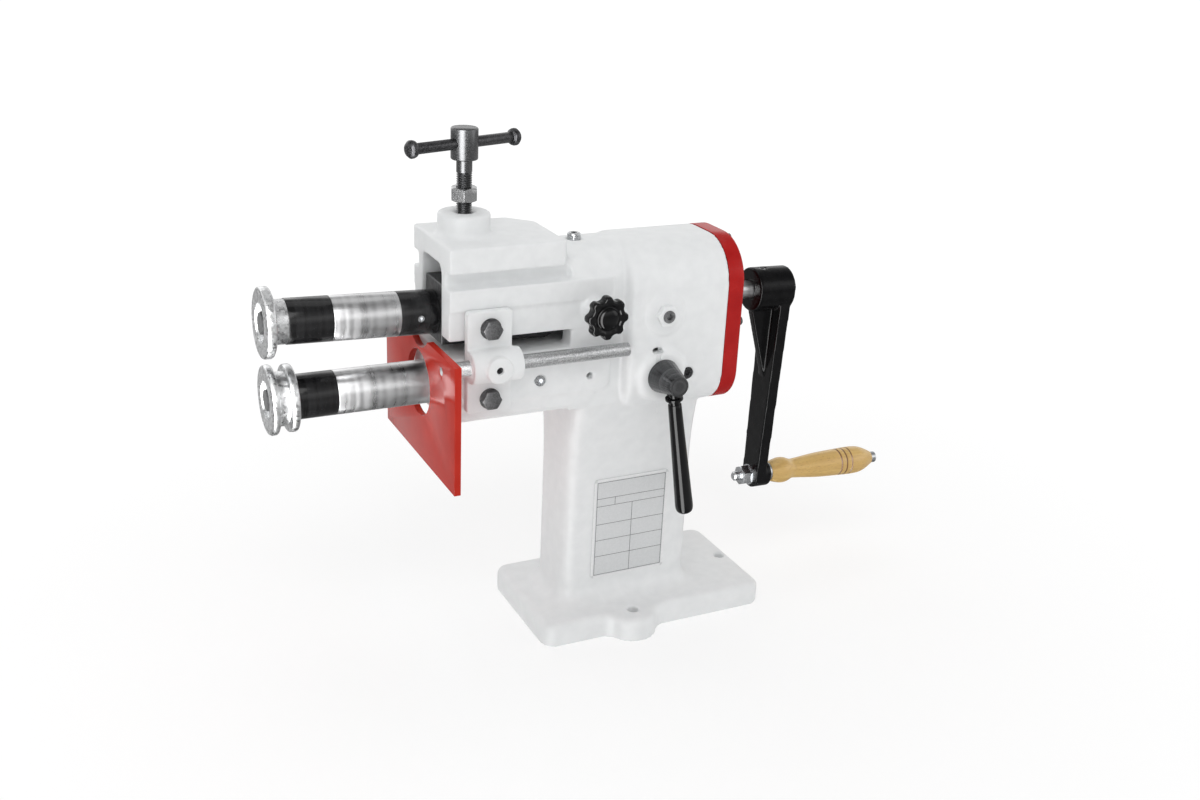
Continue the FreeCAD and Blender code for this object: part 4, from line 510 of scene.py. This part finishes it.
put("star_knob_moulded", star_knob_mesh(), phenolic, "clamp_knob", "phenolic", "star_knob", smooth=60)

# Lever grip and wooden grip
LEVER_GRIP = [(22, 4.5), (22, 6.0), (22.6, 6.35), (30, 6.55), (60, 7.15), (95, 7.95), (120, 8.5), (130, 8.75),
              (134.5, 8.45), (137, 7.5), (138.6, 5.6), (139.3, 3.0), (139.4, 0)]
put("lever_grip_moulded",
    turned_mesh("lever_grip_moulded", [(22, 0), *LEVER_GRIP[:3], *eased(LEVER_GRIP[3:])], ON_LEVER), phenolic,
    "shift_lever", "phenolic", "lever_grip")

GRIP_CURVE = [(0, 10.2), (0.05, 12.2), (0.1, 13.6), (0.15, 13.2), (0.21, 10.5), (0.27, 10.8), (0.45, 13.2),
              (0.62, 14.3), (0.8, 15), (0.9, 13.4), (1, 7.4)]


def wooden_grip_mesh():
    """The turned grip with three scored lines, and its bore for the bolt."""
    bore, lip, ease = 5.3, 0.3, 0.6
    score_depth, score_width = 0.75, 0.8
    profile = [(0, bore), (0, 9.6)]
    for along, radius in eased(GRIP_CURVE, 24):
        score = sum(max(0.0, 1 - (abs(along - groove) * GRIP_LENGTH / score_width) ** 2)
                    for groove in GRIP_GROOVES)
        profile.append((along * GRIP_LENGTH + (ease if along == 0 else 0), radius - score_depth * score))
    profile += [(GRIP_LENGTH + lip, 6.9), (GRIP_LENGTH + lip, bore)]
    shift = Matrix.Translation((GRIP_START * MM, 0, -CRANK_THROW * MM))
    return turned_mesh("wooden_grip_turned", profile, ON_ARM @ shift, 120)


put("wooden_grip_turned", wooden_grip_mesh(), varnished_beech, "crank_grip", "wood", "wooden_grip", smooth=55)


# Press screw
THREAD_LOW, THREAD_HIGH = 373.0, 456.6
THREAD_RADIUS, THREAD_PITCH, THREAD_DEPTH = 7.0, 2.0, 1.15
BAR_HIGH, BAR_TURN, BAR_HOLE = 481, 18, 4.95


def thread_ring(high, around):
    """The thread's section at a height, as (height, radius) pairs, which fades out at the top."""
    run_out = 1.5
    fade = min(1.0, (THREAD_HIGH - high) / run_out)
    ring = []
    for step in range(around):
        phase = (high / THREAD_PITCH - step / around) % 1.0
        tooth = min(1.0, max(0.0, abs(phase - 0.5) * 2.5 - 0.12))
        ring.append((high, THREAD_RADIUS - THREAD_DEPTH * tooth * fade))
    return ring


def press_screw_mesh():
    """The pressing screw: a cut thread, a plain neck, and a chamfered head with the bar's hole."""
    around, steps_a_turn = 64, 8
    foot = [(368.0, 0), (368.0, 3.9), (368.6, 4.5), (372, 4.5), (372, 5.6)]
    head = [(467, THREAD_RADIUS), (467, 10.9), (467.4, 11.6), (468.2, 12), (493.4, 12), (494.2, 11.6),
            (494.6, 10.9), (494.6, 0)]
    steps = int((THREAD_HIGH - THREAD_LOW) / THREAD_PITCH * steps_a_turn)
    rings = [[pair] * (around if pair[1] else 1) for pair in foot]
    rings += [thread_ring(THREAD_LOW + (THREAD_HIGH - THREAD_LOW) * number / steps, around)
              for number in range(steps + 1)]
    rings += [[pair] * (around if pair[1] else 1) for pair in head]
    screw = ringed_mesh("press_screw_cut", [
        [((SCREW_ACROSS + radius * math.cos(step * math.tau / len(ring))) * MM,
          radius * math.sin(step * math.tau / len(ring)) * MM, high * MM)
         for step, (high, radius) in enumerate(ring)] for ring in rings])
    turn = (Matrix.Translation((SCREW_ACROSS * MM, 0, BAR_HIGH * MM))
            @ Matrix.Rotation(math.radians(BAR_TURN), 4, "Z"))
    drill = turned_mesh("drill", [(-14, 0), (-14, BAR_HOLE), (14, BAR_HOLE), (14, 0)], turn, 48)
    return cut_away(screw, drill)


put("press_screw_cut", press_screw_mesh(), screw_steel, "press_screw", "grey_steel", "press_screw", smooth=35)


# Springs and cover screws, by geometry nodes
def geometry_tree(name, numbers, material):
    """A geometry node tree with named number inputs, ending in Realize Instances and Set Material."""
    tree = bpy.data.node_groups.new(name, "GeometryNodeTree")
    tree.interface.new_socket(name="Geometry", in_out="INPUT", socket_type="NodeSocketGeometry")
    for label, default in numbers.items():
        socket = tree.interface.new_socket(name=label, in_out="INPUT", socket_type="NodeSocketFloat")
        socket.default_value = default
    tree.interface.new_socket(name="Geometry", in_out="OUTPUT", socket_type="NodeSocketGeometry")
    realize = add(tree, "GeometryNodeRealizeInstances")
    painted = add(tree, "GeometryNodeSetMaterial", {"Geometry": realize.outputs[0], "Material": material})
    tree.links.new(painted.outputs[0], tree.nodes.new("NodeGroupOutput").inputs[0])
    return tree, tree.nodes.new("NodeGroupInput").outputs, realize.inputs[0]


def run_tree(tree, mesh, **numbers):
    """The mesh that a tree makes of a starting mesh, with its inputs set by identifier."""
    holder = linked("holder", mesh)
    modifier = holder.modifiers.new("tree", "NODES")
    modifier.node_group = tree
    for item in tree.interface.items_tree:
        if item.in_out == "INPUT" and item.name in numbers:
            modifier[item.identifier] = numbers[item.name]
    graph = bpy.context.evaluated_depsgraph_get()
    result = bpy.data.meshes.new_from_object(holder.evaluated_get(graph))
    holder.modifiers.remove(modifier)
    bpy.data.objects.remove(holder)
    return result


def points_mesh(name, spots):
    """A mesh of loose points, in metres."""
    mesh = bpy.data.meshes.new(name)
    mesh.from_pydata([tuple(Vector(spot) * MM) for spot in spots], [], [])
    return mesh


COIL = {"Radius": 0.0032, "Wire": 0.0006, "Turns": 7.0}


def coil_tree():
    """A coil spring stood on each point."""
    tree, given, done = geometry_tree("coil_springs", {**COIL, "Length": 0.02}, grey_steel)
    spiral = add(tree, "GeometryNodeCurveSpiral", {"Resolution": 24, "Rotations": given["Turns"],
                                                   "Start Radius": given["Radius"],
                                                   "End Radius": given["Radius"], "Height": given["Length"]})
    wire = add(tree, "GeometryNodeCurvePrimitiveCircle", {"Resolution": 8, "Radius": given["Wire"]})
    swept = add(tree, "GeometryNodeCurveToMesh", {"Curve": spiral.outputs[0],
                                                  "Profile Curve": wire.outputs[0], "Fill Caps": True})
    placed = add(tree, "GeometryNodeInstanceOnPoints", {"Points": given["Geometry"],
                                                        "Instance": swept.outputs[0]})
    tree.links.new(placed.outputs[0], done)
    return tree


spring_low, spring_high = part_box("lift_springs")
spring_middle = (spring_low + spring_high) / 2
spring_length = spring_high.z - spring_low.z
SPRING_SPOTS = [(spring_middle.x / MM, side, (spring_low.z + COIL["Wire"]) / MM) for side in (-17, 17)]
springs = put("lift_spring_coils", run_tree(coil_tree(), points_mesh("spring_spots", SPRING_SPOTS), **COIL,
                                            Length=spring_length - 2 * COIL["Wire"]),
              grey_steel, "frame", "grey_steel", "lift_springs")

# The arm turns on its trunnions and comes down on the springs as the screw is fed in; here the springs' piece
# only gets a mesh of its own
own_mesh(springs)


def screw_head_mesh():
    """One socket head screw's shape, its axis along X and the seat at the origin."""
    head = turned_mesh("cover_screw_shape", [(-11, 0), (-11, 1.6), (-10.6, 2), (0, 2), (0, 3.9), (0.3, 4.2),
                                             (2.4, 4.2), (3.0, 3.7), (3.0, 0)], Matrix.Identity(4), 32)
    socket = turned_mesh("cover_screw_socket", [(1, 0), (1, 2.1), (4, 2.1), (4, 0)], Matrix.Identity(4), 6)
    return cut_away(head, socket)


def screw_tree(shape):
    """A shape repeated on each point."""
    tree, given, done = geometry_tree("cover_screws", {"Size": 1.0}, dark_bolt)
    one = add(tree, "GeometryNodeObjectInfo", {"Object": shape}, transform_space="ORIGINAL")
    placed = add(tree, "GeometryNodeInstanceOnPoints", {"Points": given["Geometry"],
                                                        "Instance": one.outputs["Geometry"],
                                                        "Scale": given["Size"]})
    tree.links.new(placed.outputs[0], done)
    return tree


COVER_BACK = 77.0
SCREW_SPOTS = [(COVER_BACK, side * 50.1, 309.0) for side in (-1, 1)]
SCREW_SPOTS += [(COVER_BACK, side * 18.0, high) for side in (-1, 1) for high in (382.6, 231.4)]
screw_shape = linked("screw_shape", screw_head_mesh())
put("cover_screw_set", run_tree(screw_tree(screw_shape), points_mesh("screw_spots", SCREW_SPOTS), Size=1.0),
    dark_bolt, "frame", "grey_steel", "cover_screws", smooth=35)
bpy.data.objects.remove(screw_shape)

# Turned and small parts with broken edges
EDGED = {
    "upper_roller": (rough_zinc, 0.5), "lower_roller": (rough_zinc, 0.5),
    "upper_spacer": (black_upper, 0.5), "lower_spacer": (black_lower, 0.5),
    "upper_sleeve": (bright_upper, 0.4), "lower_sleeve": (bright_lower, 0.4),
    "upper_collar": (black_upper, 0.5), "upper_roller_washer": (zinc, 0.25),
    "lower_roller_washer": (zinc, 0.25), "lever_hub": (hub_steel, 0.6), "tommy_bar_knobs": (dark_steel, 0.3),
    "tommy_bar": (dark_steel, 0.4), "press_lock_nut": (nut_steel, 0.3), "rating_plate": (plate_alloy, 0.15),
    "stop_rod": (rod_zinc, 0.7), "lever_rod": (phenolic, 0.3), "grip_nut": (zinc, 0.3),
    "bracket_bolts": (dark_bolt, 0.3),
}
node_body = {name: body for body, names in frame["record"]["behaviour"]["bodies"].items() for name in names}
node_slot = {part["node"]: part["material_slot"] for part in frame["record"]["subparts"]}
for node, (material, width) in EDGED.items():
    put(node + "_finished", edged_copy(node, width), material, node_body[node], node_slot[node], node)

# CAD nodes that stay, with their materials
KEPT = {
    "oil_filler_plug": zinc, "lever_oil_plug": white_enamel, "quill_guide_screw": zinc,
    "trunnion_screws": grey_steel, "trunnion_lock_nuts": white_enamel, "bracket_washers": dark_bolt,
    "gear_access_plug": dark_steel, "rod_clamp_screw": dark_steel, "swing_arm_bushes": bronze,
    "upper_shaft": bright_upper,
    "upper_gear_key": grey_steel, "upper_collar_screw": zinc, "upper_roller_screw": grey_steel,
    "upper_gear": grey_steel, "upper_gear_nut": grey_steel, "crank_set_screw": grey_steel, "grip_bolt": zinc,
    "grip_washers": zinc, "lower_quill": grey_steel, "quill_bushes": bronze, "lower_shaft": bright_lower,
    "lower_gear_key": grey_steel, "lower_roller_screw": grey_steel, "lower_gear": grey_steel,
    "lower_gear_nut": grey_steel, "eccentric_shaft": grey_steel, "clamp_stud": grey_steel,
    "thrust_pad": grey_steel,
}
for node, material in KEPT.items():
    for slot in frame["nodes"][node].material_slots:
        slot.material = material


# Rating plate's rules
def strips_mesh(name, strips, face, proud):
    """Thin raised strips on the plate's face, each (left, right, low, high) in millimetres."""
    shape = bmesh.new()
    for left, right, low, high in strips:
        made = bmesh.ops.create_cube(shape, size=1.0)["verts"]
        bmesh.ops.scale(shape, vec=Vector((right - left, proud, high - low)) * MM, verts=made)
        bmesh.ops.translate(shape, vec=Vector(((left + right) / 2, face - proud / 2, (low + high) / 2)) * MM,
                            verts=made)
    mesh = bpy.data.meshes.new(name)
    shape.to_mesh(mesh)
    shape.free()
    return mesh


def plate_rules():
    """The printed frame and ruled cells, left empty."""
    left, right, low, high = -57.5, 17.4, 50.8, 152.2
    line = 0.42
    tall, wide = high - low, right - left
    title, heading = 0.173, 0.255
    strips = [(left, left + line, low, high), (right - line, right, low, high),
              (left, right, low, low + line), (left, right, high - line, high)]
    for share in (title, heading, 0.449, 0.622, 0.796):
        at = high - share * tall
        strips.append((left, right, at - line / 2, at + line / 2))
    middle = left + 0.52 * wide
    strips.append((middle - line / 2, middle + line / 2, low, high - heading * tall))
    cell = left + 0.265 * wide
    strips.append((cell - line / 2, cell + line / 2, high - heading * tall, high - title * tall))
    return strips


def plate_edge():
    """The pale raised border round the plate."""
    left, right, low, high, wide = -60.9, 20.9, 47.4, 155.6, 2.6
    corner = 3.2
    return [(left, left + wide, low + corner, high - corner),
            (right - wide, right, low + corner, high - corner),
            (left + corner, right - corner, low, low + wide),
            (left + corner, right - corner, high - wide, high)]


PLATE_FACE = -35.0
put("plate_rules", strips_mesh("plate_rules", plate_rules(), PLATE_FACE, 0.08), plate_ink,
    "frame", "plate_grey", smooth=20)
put("plate_edge", strips_mesh("plate_edge", plate_edge(), PLATE_FACE, 0.15), plate_border,
    "frame", "plate_grey", smooth=20)


# Floor, lights and camera
def floor_material():
    """A pale matt floor that glows white away from the machine, so that it has no far edge."""
    material = bpy.data.materials.new("pale_floor")
    material.use_nodes = True
    tree = material.node_tree
    tree.nodes.clear()
    place = add(tree, "ShaderNodeTexCoord").outputs["Object"]
    away = add(tree, "ShaderNodeVectorMath", {0: place}, operation="LENGTH").outputs["Value"]
    share = remap(tree, away, 0.3, 1.2, 0.5, 1.0)
    matt = add(tree, "ShaderNodeBsdfDiffuse", {"Color": (0.95, 0.95, 0.95, 1)})
    glow = add(tree, "ShaderNodeEmission", {"Color": (1, 1, 1, 1), "Strength": 1.06})
    both = add(tree, "ShaderNodeMixShader", {0: share, 1: matt.outputs[0], 2: glow.outputs[0]})
    tree.links.new(both.outputs[0], add(tree, "ShaderNodeOutputMaterial").inputs["Surface"])
    return material


FLOOR_REACH = 30
floor_mesh = bpy.data.meshes.new("floor")
floor_mesh.from_pydata([(along * FLOOR_REACH, across * FLOOR_REACH, 0)
                        for along, across in ((-1, -1), (1, -1), (1, 1), (-1, 1))], [], [(0, 1, 2, 3)])
floor = linked("floor", floor_mesh)
floor_mesh.materials.append(floor_material())
floor.visible_glossy = False


def soft_light(name, place, aim, size, watts):
    """A rectangular area light aimed at a point."""
    data = bpy.data.lights.new(name, "AREA")
    data.shape = "RECTANGLE"
    data.size, data.size_y = size
    data.energy = watts
    light = linked(name, data)
    light.location = place
    light.rotation_euler = (Vector(aim) - Vector(place)).to_track_quat("-Z", "Y").to_euler()


MIDDLE = (-0.02, 0.0, 0.25)
soft_light("key_light", (-0.9, -1.3, 1.9), MIDDLE, (1.2, 1.0), 10)
soft_light("fill_light", (1.6, -1.1, 0.9), MIDDLE, (1.0, 1.4), 4)
soft_light("top_light", (0.1, 0.5, 2.1), MIDDLE, (1.6, 1.2), 4)
soft_light("back_light", (-0.6, 1.7, 1.0), MIDDLE, (1.4, 1.2), 4)


def studio_world():
    """White to the camera, pale for soft light, and a dim room with bright bands for reflections."""
    world = bpy.data.worlds.new("studio")
    world.use_nodes = True
    tree = world.node_tree
    tree.nodes.clear()
    place = add(tree, "ShaderNodeTexCoord").outputs["Generated"]
    height = add(tree, "ShaderNodeSeparateXYZ", {"Vector": place}).outputs["Z"]
    sky = remap(tree, height, -0.1, 0.9, 0.62, 0.7)

    room = add(tree, "ShaderNodeValToRGB", {"Fac": remap(tree, height, -1.0, 1.0)})
    room.color_ramp.interpolation = "EASE"
    stops = room.color_ramp.elements
    stops[-1].color = (0.25, 0.25, 0.25, 1)
    for at, shade in ((0.0, 0.2), (0.12, 0.28), (0.3, 0.6), (0.48, 0.45), (0.58, 1.0), (0.68, 1.5),
                      (0.8, 0.6), (0.92, 0.25)):
        stop = stops[0] if at == 0.0 else stops.new(at)
        stop.color = (shade, shade, shade, 1)

    strip_bearing, strip_strength = (-0.65, -0.76, 0), 10.0
    flat = add(tree, "ShaderNodeVectorMath", {0: place, 1: (1, 1, 0)}, operation="MULTIPLY").outputs[0]
    bearing = add(tree, "ShaderNodeVectorMath", {0: flat}, operation="NORMALIZE").outputs[0]
    facing = add(tree, "ShaderNodeVectorMath", {0: bearing, 1: strip_bearing}, operation="DOT_PRODUCT")
    strip = remap(tree, facing.outputs["Value"], 0.91, 0.965, 0.0, strip_strength,
                  interpolation_type="SMOOTHSTEP")
    low = remap(tree, height, 0.6, 0.75, 1.0, 0.0)
    mirror = reckon(tree, "ADD", room.outputs["Color"], reckon(tree, "MULTIPLY", strip, low))

    path = add(tree, "ShaderNodeLightPath").outputs
    unseen = number_mix(tree, path["Is Glossy Ray"], sky, mirror)
    strength = number_mix(tree, path["Is Camera Ray"], unseen, 1.0)
    light = add(tree, "ShaderNodeBackground", {"Color": (1, 1, 1, 1), "Strength": strength})
    tree.links.new(light.outputs[0], add(tree, "ShaderNodeOutputWorld").inputs["Surface"])
    return world


bpy.context.scene.world = studio_world()
bpy.context.scene.view_settings.view_transform = "Standard"


CAMERA_PLACE = (-0.5894, -1.0742, 0.7)
CAMERA_TURN = (27.01, 21.54, 2.776)
FOCAL_PIXELS, PHOTO_WIDTH, SENSOR_WIDTH = 1327.7, 1200, 36


def photo_camera():
    """The photograph's point of view, from a bearing, a tilt down and a roll in degrees."""
    yaw, pitch, roll = (math.radians(angle) for angle in CAMERA_TURN)
    ahead = Vector((math.sin(yaw) * math.cos(pitch), math.cos(yaw) * math.cos(pitch), -math.sin(pitch)))
    level = Vector((math.cos(yaw), -math.sin(yaw), 0))
    lifted = level.cross(ahead)
    right = level * math.cos(roll) + lifted * math.sin(roll)
    up = lifted * math.cos(roll) - level * math.sin(roll)
    data = bpy.data.cameras.new("camera")
    data.sensor_width = SENSOR_WIDTH
    data.lens = FOCAL_PIXELS / PHOTO_WIDTH * SENSOR_WIDTH
    camera = linked("camera", data)
    camera.matrix_world = (Matrix.Translation(CAMERA_PLACE)
                           @ Matrix((right, up, -ahead)).transposed().to_4x4())
    return camera


bpy.context.scene.camera = photo_camera()

bpy.context.view_layer.update()
